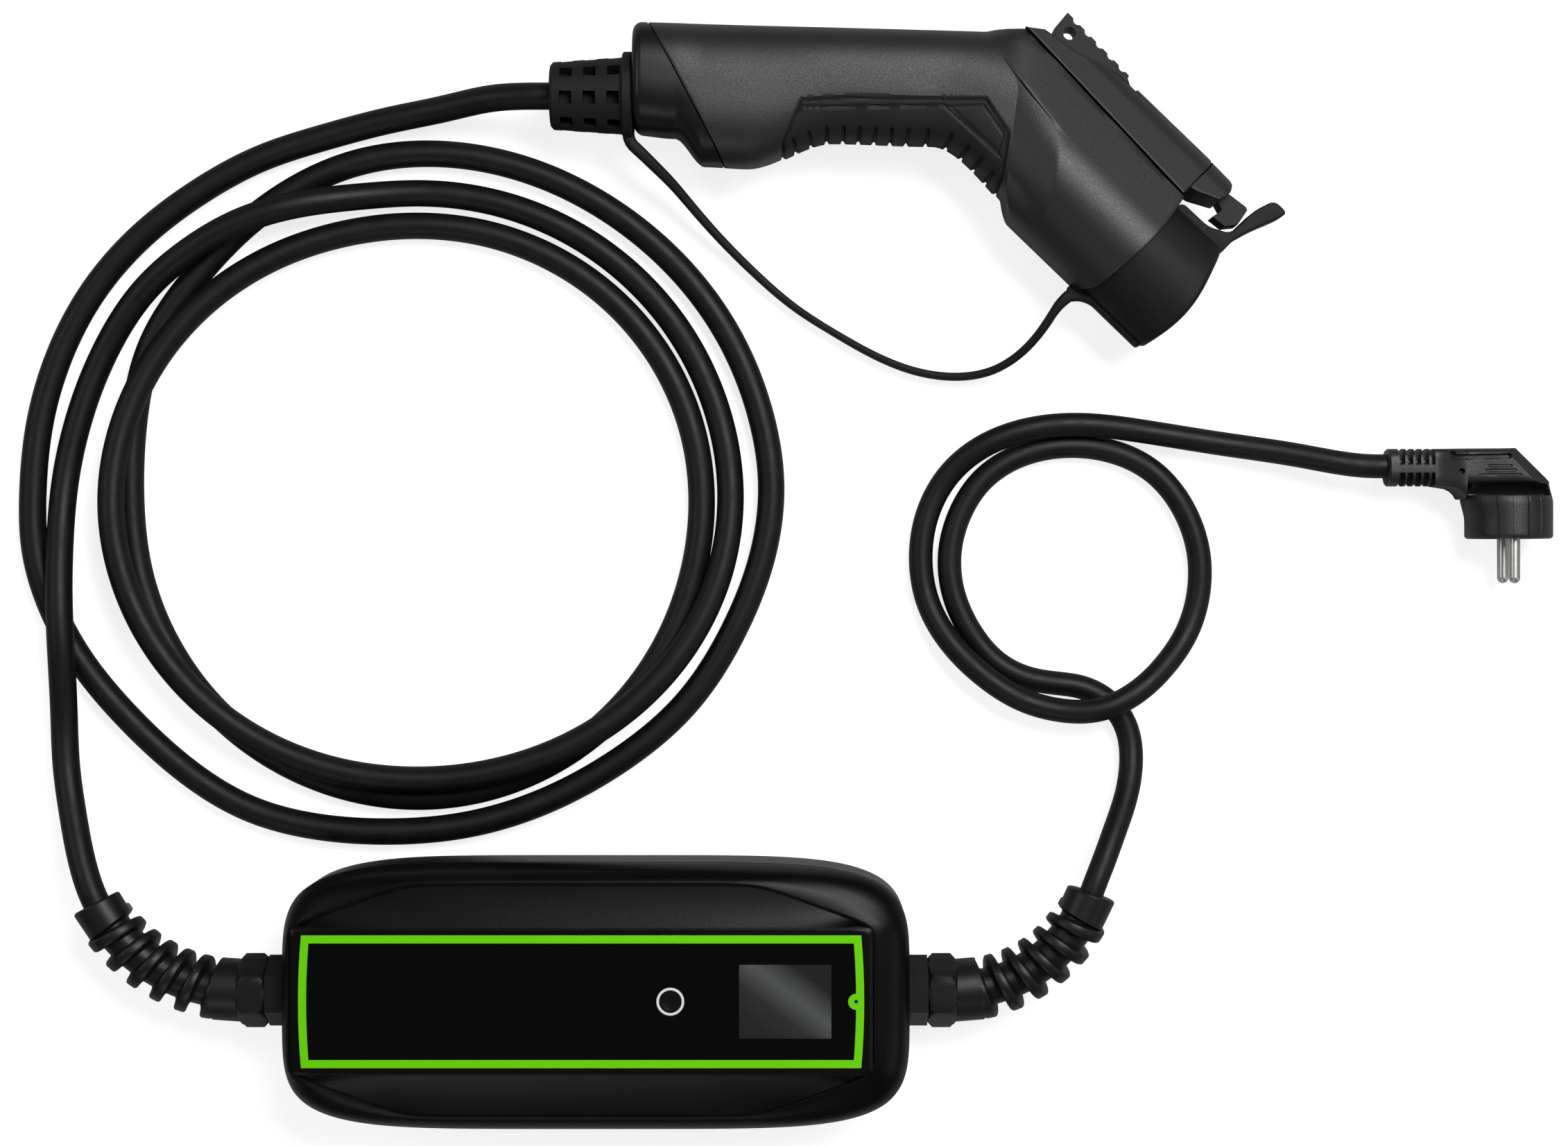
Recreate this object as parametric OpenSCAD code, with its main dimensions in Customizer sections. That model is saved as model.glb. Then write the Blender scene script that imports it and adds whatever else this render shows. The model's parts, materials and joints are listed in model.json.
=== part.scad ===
// Portable EV charger: control box, vehicle connector, mains plug and the cables between them.
// Lying on a table, +Z up, origin at the middle of the control box's underside.

/* [Control box] */
// Length of the control box at its parting line
box_l = 262; // [240:1:290]
// Width of the control box at its parting line
box_w = 111; // [100:1:124]
// Height of the control box
box_h = 60; // [56:1:72]
// Height of the parting line between base and cover
split_h = 42; // [40:1:46]
// Wall of both box shells
box_wall = 3; // [2.5:0.1:3.6]
// Squareness of the outline, a superellipse's exponent
box_power = 5.2; // [4:0.1:7]
// Thickness of the seal between base and cover
seal_t = 0.8; // [0.6:0.1:1.2]

/* [Front panel] */
// Place of the raised deck's centre along the box
deck_x = -5; // [-8:0.5:5]
// Length of the deck at its crease
deck_l = 243; // [238:1:246]
// Width of the deck at its crease
deck_w = 97; // [90:1:100]
// Length of the deck's straight long edges
deck_flat = 146; // [120:1:160]
// Length of the deck's straight short edges
deck_end = 62; // [60:1:70]
// Length of the raised band that carries the panel
band_l = 237.5; // [237:0.5:241]
// Width of the raised band that carries the panel
band_w = 59; // [58:0.5:64]
// Drop from the band to the deck's crease
deck_drop = 2.8; // [2:0.1:3.4]
// Length of the accent frame
frame_l = 233; // [222:1:233]
// Width of the accent frame
frame_w = 54.6; // [50:0.2:55]
// Line width of the accent frame
frame_line = 3.3; // [2.6:0.1:3.8]
// Bow of the accent frame's ends
frame_bow = 1.2; // [0.6:0.1:2]
// Thickness of the panel
panel_t = 1.6; // [1.2:0.1:1.8]
// Length of the display window
window_l = 38; // [30:0.5:42]
// Width of the display window
window_w = 30.4; // [24:0.2:34]
// Distance of the display's middle from the accent frame's right end
window_margin = 32.5; // [30.5:0.5:38]
// Distance of the push button from the display's middle
button_gap = 47.3; // [42:0.1:54]
// Diameter of the push button
button_d = 9; // [7:0.2:10]
// Outer diameter of the button ring
ring_d = 11.5; // [11:0.1:13]
// Travel of the push button
button_travel = 0.8; // [0.5:0.1:1]

/* [Glands] */
// Height of the gland axis above the table
gland_h = 28; // [26:0.5:29]
// Hexagon of the gland body, across flats
gland_flats = 26; // [25:0.5:27]
// Length of the gland body's hexagon
gland_flange = 8; // [5:0.5:9]
// Diameter of the gland's thread
thread_d = 20; // [18:0.5:21]
// Hexagon of the gland nut, across flats
nut_flats = 27.2; // [26.5:0.1:29]
// Length of the gland nut's hexagon
nut_hex_l = 12; // [10:0.5:14]
// Diameter of the nut's round part and of the first fin
relief_d = 26.4; // [25:0.2:28]
// Diameter of the last fin
relief_end_d = 24; // [22:0.2:25]
// Diameter of the core under the fins
relief_core_d = 17.4; // [16.6:0.2:18.6]
// Length of the nut and its relief beyond the hexagon, along its curve
relief_l = 75.5; // [72:0.5:82]
// Length of the round part before the fins
relief_plain = 14; // [12:0.5:16]
// Rise of the helical fin in one turn
fin_pitch = 8.4; // [7.8:0.1:9]
// Thickness of the helical fin
fin_t = 4; // [3.4:0.1:4.6]
// Diameter of the relief's end collar
collar_d = 20.6; // [19:0.2:22]
// Length of the relief's end collar
collar_l = 12; // [9:0.5:13]
// Bend of the relief on the charging cable, degrees
charge_bend = 62; // [60:1:64]
// Bend of the relief on the mains cable, degrees
mains_bend = 71; // [69:1:73]

/* [Cables] */
// Diameter of the charging cable
charge_d = 11.5; // [10.5:0.1:11.8]
// Diameter of the mains cable
mains_d = 10.3; // [9.5:0.1:10.8]

/* [Connector handle] */
// Half width of the handle at its rear
handle_rear_w = 21.5; // [20:0.5:23]
// Half width of the handle at the grip
handle_grip_w = 20; // [19:0.5:22]
// Wall of the handle shells
shell_wall = 3; // [2.6:0.1:3.4]
// Depth of the recess for the grip insert
grip_t = 1.6; // [1.2:0.1:2]
// How far the grip insert stands proud
grip_proud = 0.6; // [0.3:0.1:0.9]
// Number of ribs on the grip insert
grip_ribs = 12; // [8:1:14]
// Width of the seam between end cap and shells
seam_gap = 0.5; // [0.3:0.1:0.8]

/* [Connector nose] */
// Angle of the nose below the handle, degrees
nose_angle = 44; // [42:1:46]
// Radius of the barrel behind the nose
barrel_r = 28.5; // [28:0.1:29]
// Radius of the contact nose
nose_r = 21.9; // [21.5:0.1:22]
// Length of the contact nose in front of the barrel
nose_l = 25; // [23:0.5:25.5]
// Bow of the barrel's front rim
rim_bow = 2.6; // [1.5:0.1:4]
// Radius of the rim's lower corner
rim_corner = 9; // [7:0.5:11]
// Thickness of the barrel's front wall
front_wall = 4; // [3:0.5:5]
// Thickness of the nose insert's flange
nose_flange_t = 6; // [5:0.5:8]

/* [Latch] */
// Height of the latch cover's top above the nose axis
latch_top = 50.6; // [50:0.2:52]
// Radius of the latch cover's rounded top
latch_cover_r = 14; // [13.4:0.2:15]
// Width of the latch lever
lever_w = 14; // [12:0.5:15]
// Diameter of the latch pin
latch_pin_d = 4; // [3:0.2:4.4]
// Distance of the latch pin behind the barrel's front
latch_pin_t = 32; // [30:0.5:34]
// Height of the latch pin above the nose axis
latch_pin_n = 43; // [42.5:0.1:43.5]
// Diameter of the padlock hole in the thumb pad
lock_hole_d = 5.3; // [4:0.1:6]

/* [Dust cap] */
// Outer radius of the dust cap
cap_r = 26.5; // [26:0.1:27.5]
// Depth of the dust cap's seat in the barrel
cap_seat = 9.5; // [8:0.5:11]
// Reach of the dust cap's curved front, halfway up its curve
cap_front = 30.4; // [29.5:0.1:32]
// Swing of the dust cap's curved front
cap_swing = 3.7; // [2:0.1:4]
// Width of the pull tab
tab_w = 15; // [12:0.5:18]
// Width of the keel on the dust cap
keel_w = 7; // [5:0.5:8]

/* [Boot and tether] */
// Length of the cable boot
boot_l = 35; // [32:0.5:40]
// Diameter of the boot at the cable
boot_tip_d = 28.4; // [26:0.2:29]
// Diameter of the boot at the handle
boot_root_d = 32.4; // [31:0.2:33]
// Side of the boot's windows
boot_window = 5.3; // [4:0.1:6]
// Diameter of the boot's neck inside the end cap
boot_neck_d = 22; // [20:0.5:24]
// Outer diameter of the tether ring
tether_ring_d = 37; // [36.4:0.2:39]
// Width of the tether ring
tether_ring_w = 4.2; // [3.5:0.1:5]
// Width of the tether strap
tether_w = 9; // [6:0.5:10]
// Thickness of the tether strap
tether_t = 3.6; // [3:0.1:4]

/* [Mains plug] */
// Diameter of the plug's face
plug_d = 37; // [36:0.2:38]
// Depth of the plug's round part
plug_depth = 23; // [21:0.5:25]
// Diameter of the plug's pins
pin_d = 4.8; // [4:0.1:5]
// Length of the plug's pins
pin_l = 19; // [17:0.5:19]
// Distance between the plug's pins
pin_gap = 19; // [18:0.5:20]
// Diameter of the plug's neck at the cable
neck_d = 16.4; // [15:0.2:17]
// Length of the plug's neck
neck_l = 22; // [20:0.5:26]

/* [Clearances] */
// Gap between pieces that are fixed to each other
fit = 0.15; // [0.1:0.05:0.25]
// Gap round a pin or shaft that turns
pin_fit = 0.05; // [0.03:0.01:0.08]
// Gap beside pieces that move
slide_fit = 0.4; // [0.3:0.05:0.6]

/* [Hidden] */
$fn = 48;
tiny = 0.02;
far = 200;
black = "#1b1b1d";
satin = "#232426";
charcoal = "#55585b";

// Box outline and its levels
box_sides = 56;
box_foot = 7;
window_x = frame_l / 2 - window_margin;
button_x = window_x - button_gap;
deck_slant = atan2((deck_w - deck_end) / 2, (deck_l - deck_flat) / 2);
ceiling_h = box_h - panel_t - 2;
panel_z = box_h - panel_t;
board_z = 12;
board_t = 1.6;
board_l = 164;
board_w = 76;
standoff_x = 70;
standoff_y = 30;
standoff_d = 8;
case_screw_d = 4;
case_boss_d = 10;
case_boss_x = box_l / 2 - 27;
case_boss_y = box_w / 2 - 20;
display_z = ceiling_h - 4;

// Gland levels along its axis, from the box's end wall outwards
gland_x = box_l / 2;
nut_x = gland_x + gland_flange;
relief_x = nut_x + nut_hex_l;

// Handle frame: origin on the cable axis at the handle's rear, x forwards, y to the latch side
handle_at = [15, 378, 28.5];
handle_top_rear = 30.5;
handle_top_fall = 0.027;
handle_underside = [[0, -16], [17, -17.5], [30, -29.6], [48, -30.5], [84, -19.2], [126, -20.4], [178, -60]];
handle_width = [[0, handle_rear_w], [84, handle_grip_w], [126, handle_grip_w], [178, handle_rear_w + 2]];
rear_stations = [0, 0.5, 2, 4, 17, 23, 30, 40, 50, 56];
handle_stations = [4, 17, 23, 30, 40, 50, 61, 72, 84, 105, 126, 134, 143, 152, 163, 174];
cavity_stations = [4, 17, 30, 50, 72, 84, 126, 139, 152, 170];
grip_stations = [50, 61, 72, 84, 105, 126, 134, 143, 152, 163, 174];
handle_power = 2.7;
handle_corner = 4;
seam_top = [5.6, 31];
seam_foot = [38.6, -31];
grip_region = [[62, -34], [64, -20.5], [71, -3.8], [147.5, -4.2], [157.5, -19], [152, -42]];
rib_first = 74;
rib_last = 148;
handle_bosses = [[54, 18], [104, 15], [152, 4]];
handle_boss_d = 8;
handle_screw_d = 3;

// Nose frame: origin at the barrel's front, x along the nose, y to the latch side
nose_at = [210.4, -65.5];
nose_turn = -nose_angle;
groove_rear = [-97, 33.5];
groove_front = [2, 28.2];
groove_gap = 0.9;
barrel_foot = -46;
barrel_crown = -64;
lever_profile = [
    [-89, 52.4], [-88.4, 43.5], [-84, 40.5], [-8, 38], [12, 38.9], [15.5, 37.8], [14.4, 33], [20.8, 33.6],
    [24.4, 37.9], [23.1, 45.1], [21.5, 45.6], [8, 44], [-14, 44], [-26, 47], [-46, 47], [-51.5, 50], [-52, 51.2]
];
cover_ramp = [[-51, 60], [-52, 50.2], [-74, 42.3], [-90.5, 39.4], [-95.8, 35]];
cover_front = -1.9;
cover_roof = 2.6;
thumb_hole = [-82.3, 46.6];
thumb_ridges = 5;
hood_rear = -1.2;
hood_front = 11.6;
tab_profile = [
    [0.6, 24], [0.6, 28.3], [15, 28.8], [19, 30.6], [24.4, 33], [25.4, 37], [25.4, 46], [24.8, 48], [27.6, 54], [29.8, 55.8],
    [33, 56.2], [35.2, 55], [35.7, 53], [33.2, 47.4], [30.2, 40.4], [28.4, 34.4], [27.4, 29.2], [27.4, 24]
];
contact_d = [8.4, 7.2, 5.2];
contact_bore_d = [3.6, 2.8, 1.5];
power_places = [[6.5, 8], [6.5, -8]];
earth_place = [[-11.5, 0]];
signal_places = [[-4.5, 12.5], [-4.5, -12.5]];
contact_recess = 3;
contact_l = 30;

// Plug frame: origin on the face between the pins, pins along -y
plug_at = [387.5, 191, plug_d / 2 + 0.1];
plug_arm_y = 31;
plug_neck_x = -32;

// Cable routes, centre points in the part's frame
coil_at = [-79, 208];
coil_r_in = 112;
coil_r_out = 140.2;
coil_low = 0.25;
coil_high = 22;
charge_lead_in = [
    [-16, 378, 28.5], [-22, 378, 28.5], [-44, 378, 24], [-67, 375, 14.5], [-92, 371, 8], [-120, 364, 6],
    [-147, 355, 6], [-173, 341, 6], [-198, 322, 6], [-219, 298, 6], [-235, 268, 6], [-243, 240, 6], [-246, 212, 6],
    [-245, 186, 6], [-238, 163, 6], [-224, 138, 6], [-204, 114, 6], [-180, 92, 6], [-152, 75, 6], [-122, 67, 6],
    [-91, 65, 6], [-58, 68, 6], [-25, 78, 6], [8, 96, 6], [37, 121, 6], [57, 152, 6], [69, 183, 6], [73, 213, 6],
    [68, 246, 6], [55, 278, 6], [34, 307, 6], [6, 331, 6], [-24, 347, 6], [-52, 355, 6], [-79, 357, 6],
    [-106, 353, 6], [-130, 343, 6], [-154, 326, 6], [-175, 304, 6]
];
charge_lead_out = [
    [-79, 340, 6], [-104, 338, 10], [-128, 334, 16.5], [-152, 327, 18], [-176, 314, 15.5], [-198, 296, 9],
    [-214, 272, 6], [-225, 244, 6], [-231, 216, 7], [-232, 190, 12], [-231, 164, 17.5], [-230, 140, 17.5],
    [-230, 116, 13], [-229, 94, 13], [-225, 74, 18], [-219, 53, 25], [-212.5, 37, 28], [-210.6, 33.4, 28]
];
mains_route = [
    [207.3, 37.2, 28], [208.6, 41, 28], [214, 58, 25], [220, 74, 17], [226, 90, 9.5], [228, 106, 5.5], [222, 120, 5.5],
    [209, 130, 5.5], [191, 133, 5.5], [173, 139, 5.5], [158, 152, 5.5], [151, 172, 5.5], [153, 196, 5.5],
    [163, 216, 5.5], [181, 228, 5.5], [203, 231, 5.5], [227, 225, 5.5], [247, 209, 5.5], [258, 186, 5.5],
    [258, 162, 6.5], [250, 142, 12], [236, 127, 16.5], [217, 118, 16.5], [195, 117, 10.5], [171, 125, 5.5],
    [150, 144, 5.5], [139, 167, 5.5], [139, 192, 5.5], [147, 214, 5.5], [165, 232, 5.5], [188, 242, 5.5],
    [214, 244, 5.5], [240, 240, 5.5], [264, 234, 6.5], [288, 228, 10], [311, 224, 15.5], [328, 222, 18.6],
    [338, 222, 18.6]
];
tether_points = [
    [-2.4, -19.2, 28.5], [-0.5, -24, 28], [6, -32, 23.5], [16, -40.5, 18], [31, -55, 11], [51, -75, 6], [72, -92.5, 5],
    [93, -105.3, 5], [114, -114, 5], [135, -117.7, 6], [152, -115, 10], [167, -106, 18], [177, -91.6, 27.5],
    [181.9, -86.5, 28.5]
];
tether_route = [for (p = tether_points) [handle_at[0] + p[0], handle_at[1] + p[1], p[2]]];

function smooth_step(t) = t * t * (3 - 2 * t);

// Value at x between keyed pairs, level at each key
function eased(x, keys) =
    x <= keys[0][0] ? keys[0][1] :
    x >= keys[len(keys) - 1][0] ? keys[len(keys) - 1][1] :
    let (i = max([for (k = [0 : len(keys) - 2]) keys[k][0] <= x ? k : 0]),
         t = (x - keys[i][0]) / (keys[i + 1][0] - keys[i][0]))
    keys[i][1] + (keys[i + 1][1] - keys[i][1]) * smooth_step(t);

function signed_pow(v, p) = sign(v) * pow(abs(v), p);

// Superellipse with half axes a and b and exponent p, at angle t
function superellipse(a, b, p, t) = [a * signed_pow(cos(t), 2 / p), b * signed_pow(sin(t), 2 / p)];

// Closed solid through a list of rings with equal point counts, flat at both ends
module skin(rings) {
    n = len(rings[0]);
    m = len(rings);
    polyhedron(
        points = [for (ring = rings) each ring],
        faces = concat(
            [[for (i = [0 : n - 1]) i]],
            [for (k = [0 : m - 2], i = [0 : n - 1])
                let (a = k * n + i, b = k * n + (i + 1) % n) each [[a, a + n, b], [b, a + n, b + n]]],
            [[for (i = [n - 1 : -1 : 0]) (m - 1) * n + i]]));
}

// Box: the outline, the deck's octagon and the band, all by direction from the middle
function box_point(i, inset) = superellipse(box_l / 2 - inset, box_w / 2 - inset, box_power, 360 * i / box_sides);

function box_ring(inset, z) = [for (i = [0 : box_sides - 1]) concat(box_point(i, inset), z)];

function octagon_r(phi, inset) =
    let (q = 26,
         corner = [deck_flat / 2, deck_w / 2],
         normal = [sin(deck_slant), cos(deck_slant)],
         reach = normal * corner - inset,
         c = abs(cos(phi)),
         s = abs(sin(phi)))
    pow(pow(c / (deck_l / 2 - inset), q) + pow(s / (deck_w / 2 - inset), q)
        + pow((c * normal[0] + s * normal[1]) / reach, q), -1 / q);

function band_r(phi, inset) =
    let (q = 22)
    pow(pow(abs(cos(phi)) / (band_l / 2 - inset), q) + pow(abs(sin(phi)) / (band_w / 2 - inset), q), -1 / q);

function deck_point(r, phi) = [deck_x + r * cos(phi), r * sin(phi)];

function deck_ring(mix, inset, z) = [
    for (i = [0 : box_sides - 1])
        let (p = box_point(i, inset), phi = atan2(p[1], p[0]), q = deck_point(octagon_r(phi, inset), phi))
        concat(p * (1 - mix) + q * mix, z)
];

function band_ring(inset, z) = [
    for (i = [0 : box_sides - 1])
        let (p = box_point(i, 0), phi = atan2(p[1], p[0]))
        concat(deck_point(band_r(phi, inset), phi), z)
];

module at_case_bosses() {
    for (x = [-1, 1], y = [-1, 1])
        translate([x * case_boss_x, y * case_boss_y, 0])
            children();
}

module at_standoffs() {
    for (x = [-1, 1], y = [-1, 1])
        translate([x * standoff_x, y * standoff_y, 0])
            children();
}

module box_base() {
    rim = split_h - seal_t / 2;
    color(satin) difference() {
        union() {
            skin([
                box_ring(box_foot, 0), box_ring(4, 1.4), box_ring(1.6, 4.2), box_ring(0.3, 9), box_ring(0, 13),
                box_ring(0, rim), box_ring(box_wall, rim), box_ring(box_wall, 10),
                box_ring(box_wall + 2, 5.5), box_ring(box_foot + box_wall, box_wall)
            ]);
            at_case_bosses() translate([0, 0, 1]) cylinder(d = case_boss_d, h = rim - 1);
            at_standoffs() translate([0, 0, 1]) cylinder(d = standoff_d, h = board_z - 1);
        }
        at_case_bosses() {
            translate([0, 0, -1]) cylinder(d = case_screw_d + 2 * fit, h = box_h);
            translate([0, 0, -1]) cylinder(d = 2 * case_screw_d, h = 7);
        }
        at_standoffs() translate([0, 0, board_z - 8]) cylinder(d = 3, h = 9);
        for (x = [-1, 1])
            translate([x * (gland_x - 10), 0, gland_h]) rotate([0, x * 90, 0])
                cylinder(d = thread_d + 2 * fit, h = 20);
    }
}

module box_cover() {
    rim = split_h + seal_t / 2;
    crease = box_h - deck_drop;
    color(satin) difference() {
        union() {
            skin([
                band_ring(2, ceiling_h), deck_ring(1, 4, crease - 3), deck_ring(0.3, 4.4, crease - 6),
                box_ring(box_wall, rim), box_ring(0, rim), box_ring(0.4, rim + 4), deck_ring(0.08, 1.2, rim + 8),
                deck_ring(0.4, 0.8, crease - 3.4), deck_ring(0.8, 0.2, crease - 0.9), deck_ring(1, 0, crease),
                band_ring(0, box_h)
            ]);
            at_case_bosses() translate([0, 0, rim]) cylinder(d = case_boss_d - 1, h = crease - 3.5 - rim);
        }
        at_case_bosses() translate([0, 0, rim - 1]) cylinder(d = case_screw_d, h = crease - 5 - rim);
        translate([deck_x, 0, panel_z]) linear_extrude(panel_t + 1) bowed_frame(fit);
        translate([deck_x + window_x, 0, panel_z]) cube([window_l - 3, window_w - 3, 20], center = true);
        translate([deck_x + button_x, 0, ceiling_h - 1]) cylinder(d = button_d - 2, h = 10);
    }
}

module box_seal() {
    color("#0e0e0f") translate([0, 0, split_h - seal_t / 2]) linear_extrude(seal_t) difference() {
        polygon([for (p = box_ring(0.7, 0)) [p[0], p[1]]]);
        polygon([for (p = box_ring(box_wall - 0.4, 0)) [p[0], p[1]]]);
    }
}

// Accent frame's outline: long sides straight, ends bowed outwards
module bowed_frame(grow) {
    bow_r = (pow(frame_w / 2, 2) + pow(frame_bow, 2)) / (2 * frame_bow);
    intersection() {
        square([frame_l + 2 * grow, frame_w + 2 * grow], center = true);
        translate([bow_r - frame_l / 2, 0]) circle(bow_r + grow, $fn = 360);
        translate([frame_l / 2 - bow_r, 0]) circle(bow_r + grow, $fn = 360);
    }
}

module accent_frame() {
    color("#6bd900") translate([deck_x, 0, panel_z]) linear_extrude(panel_t + 0.15) difference() {
        union() {
            difference() {
                bowed_frame(0);
                bowed_frame(-frame_line);
            }
            intersection() {
                bowed_frame(0);
                translate([frame_l / 2 - frame_line, 0]) circle(frame_line);
            }
        }
        translate([frame_l / 2 - frame_line, 0]) circle(0.8);
    }
}

module face_panel() {
    color("#0c0c0d") translate([deck_x, 0, panel_z]) linear_extrude(panel_t) difference() {
        bowed_frame(-frame_line - fit);
        translate([frame_l / 2 - frame_line, 0]) circle(frame_line + fit);
        translate([window_x, 0]) square([window_l + 2 * fit, window_w + 2 * fit], center = true);
        translate([button_x, 0]) circle(d = ring_d + 2 * fit);
    }
}

module display_window() {
    color("#3a3d40") translate([deck_x + window_x, 0, panel_z]) linear_extrude(panel_t)
        square([window_l, window_w], center = true);
}

module button_ring() {
    ring_h = panel_t + 0.4;
    color("silver") translate([deck_x + button_x, 0, panel_z]) rotate_extrude()
        polygon([
            [button_d / 2 + fit, 0], [ring_d / 2, 0], [ring_d / 2, ring_h - 0.3], [ring_d / 2 - 0.3, ring_h],
            [button_d / 2 + fit + 0.3, ring_h], [button_d / 2 + fit, ring_h - 0.3]
        ]);
}

// Push button: a dished cap on a stem that reaches the switch through the cover
module control_button() {
    cap_low = button_travel + 0.2;
    cap_high = panel_t + 0.3;
    stem_r = button_d / 2 - 1 - slide_fit;
    dish_r = 20;
    color("#141415") translate([deck_x + button_x, 0, panel_z]) difference() {
        union() {
            translate([0, 0, cap_low - tiny]) cylinder(d = button_d, h = cap_high - cap_low + tiny);
            translate([0, 0, display_z + 2.6 - panel_z]) cylinder(r = stem_r, h = panel_z + cap_low - display_z - 2.6);
        }
        translate([0, 0, cap_high + dish_r - 0.35]) sphere(dish_r);
    }
}

module display_module() {
    color("#7d8a86") translate([deck_x + window_x, 0, display_z + (ceiling_h - display_z) / 2])
        cube([window_l + 4, window_w + 4, ceiling_h - display_z], center = true);
}

module display_board() {
    right = window_x + window_l / 2 + 4;
    left = button_x - 8;
    color("#1f5a34") translate([deck_x + left, -window_w / 2 - 3, display_z - board_t])
        cube([right - left, window_w + 6, board_t]);
}

module button_switch() {
    color("#2c2c2e") translate([deck_x + button_x, 0, display_z]) {
        translate([0, 0, 0.65]) cube([6, 6, 1.3], center = true);
        cylinder(d = 3.2, h = 2.6 - button_travel - 0.1);
    }
}

module main_board() {
    color("#1f5a34") translate([0, 0, board_z]) linear_extrude(board_t) difference() {
        square([board_l, board_w], center = true);
        for (x = [-1, 1], y = [-1, 1])
            translate([x * standoff_x, y * standoff_y]) circle(d = 3.2);
    }
}

module board_screws() {
    color("silver") at_standoffs() translate([0, 0, board_z + board_t]) {
        cylinder(d = 5.6, h = 2);
        translate([0, 0, -8]) cylinder(d = 2.8, h = 8 + tiny);
    }
}

// On the board: switching relays, residual-current sensor ring, power module, capacitors and terminals
board_top = board_z + board_t;

module relays() {
    color("#1d1d20") for (y = [-1, 1])
        translate([-38, y * 14, board_top]) linear_extrude(25) square([29, 14], center = true);
}

module current_sensor() {
    color("#2e3f57") translate([43.5, -16, board_top + 5]) rotate_extrude() translate([9, 0]) square([9, 10], center = true);
}

module power_module() {
    color("#26282b") translate([6, 18, board_top]) linear_extrude(20) square([36, 24], center = true);
}

module capacitors() {
    color("#39424f") for (i = [0 : 2])
        translate([-6 + 13 * i, -18, board_top]) {
            cylinder(d = 10, h = 18);
            translate([0, 0, 18]) cylinder(d1 = 10, d2 = 8.6, h = 0.8);
        }
}

module terminal_blocks() {
    color("#3d6b4a") for (x = [-1, 1])
        translate([x * 66, 0, board_top]) difference() {
            translate([-6, -16, 0]) cube([12, 32, 13]);
            for (y = [-1 : 1])
                translate([x * 4, y * 10, 6]) rotate([0, x * 90, 0]) cylinder(d = 5, h = 8);
            for (y = [-1 : 1])
                translate([0, y * 10, 10]) cylinder(d = 4, h = 8);
        }
}

module case_screws() {
    head = 3;
    color("silver") at_case_bosses() translate([0, 0, 6 - head]) {
        cylinder(d = 1.8 * case_screw_d, h = head);
        cylinder(d = case_screw_d - 0.1, h = box_h - deck_drop - 9 - 6 + head);
    }
}

// Glands: side -1 is the charging cable's end of the box and 1 the mains cable's
module gland_side(side) {
    translate([0, 0, gland_h]) mirror([side < 0 ? 1 : 0, 0, 0]) children();
}

module along_x(x) {
    translate([x, 0, 0]) rotate([0, 90, 0]) children();
}

module hexagon(flats, h) {
    rotate([0, 0, 90]) cylinder(d = flats / cos(30), h = h, $fn = 6);
}

module gland_body(cable_d) {
    inside = box_wall + 8;
    color(black) difference() {
        union() {
            along_x(gland_x) hexagon(gland_flats, gland_flange);
            along_x(gland_x - inside) cylinder(d = thread_d, h = inside + tiny);
            along_x(nut_x - tiny) cylinder(d = thread_d, h = nut_hex_l - 6);
        }
        along_x(gland_x - inside - 1) cylinder(d = cable_d + 1, h = far);
    }
}

module gland_locknut() {
    color(black) difference() {
        along_x(gland_x - box_wall - 5.4) hexagon(gland_flats - 1, 5);
        along_x(gland_x - box_wall - 6) cylinder(d = thread_d + 2 * pin_fit, h = 8);
    }
}

module gland_seal(cable_d) {
    color("#303030") difference() {
        along_x(nut_x + nut_hex_l - 6 + fit) cylinder(d = thread_d - 1, h = 5 - 2 * fit);
        along_x(nut_x) cylinder(d = cable_d + 0.6, h = far);
    }
}

// Relief: the point at length s along its bent axis, at radius q in the direction phi round it
function relief_point(s, bend, q, phi) =
    let (r = relief_l * 180 / (PI * bend), a = s / relief_l * bend)
    [relief_x + r * sin(a), r * (1 - cos(a)), 0]
    + q * cos(phi) * [-sin(a), cos(a), 0] + q * sin(phi) * [0, 0, 1];

// One helical fin that winds round the core from the nut to the collar
module relief_fin(bend) {
    from = relief_plain - fin_t / 2;
    to = relief_l - collar_l + fin_t / 2;
    steps_per_turn = 10;
    steps = round((to - from) / fin_pitch * steps_per_turn);
    root = relief_core_d / 2 - 1;
    skin([
        for (k = [0 : steps])
            let (s = from + (to - from) * k / steps,
                 tip = (relief_d + (relief_end_d - relief_d) * k / steps) / 2,
                 phi = 360 * k / steps_per_turn)
            [
                relief_point(s + fin_t / 2, bend, root, phi), relief_point(s + fin_t / 2 - 0.4, bend, tip, phi),
                relief_point(s - fin_t / 2 + 0.4, bend, tip, phi), relief_point(s - fin_t / 2, bend, root, phi)
            ]
    ]);
}

// Round body along the bent axis from pairs of length and radius
module relief_turned(pairs, bend, sides) {
    skin([for (p = pairs) [for (k = [0 : sides - 1]) relief_point(p[0], bend, p[1], 360 * k / sides)]]);
}

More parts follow.
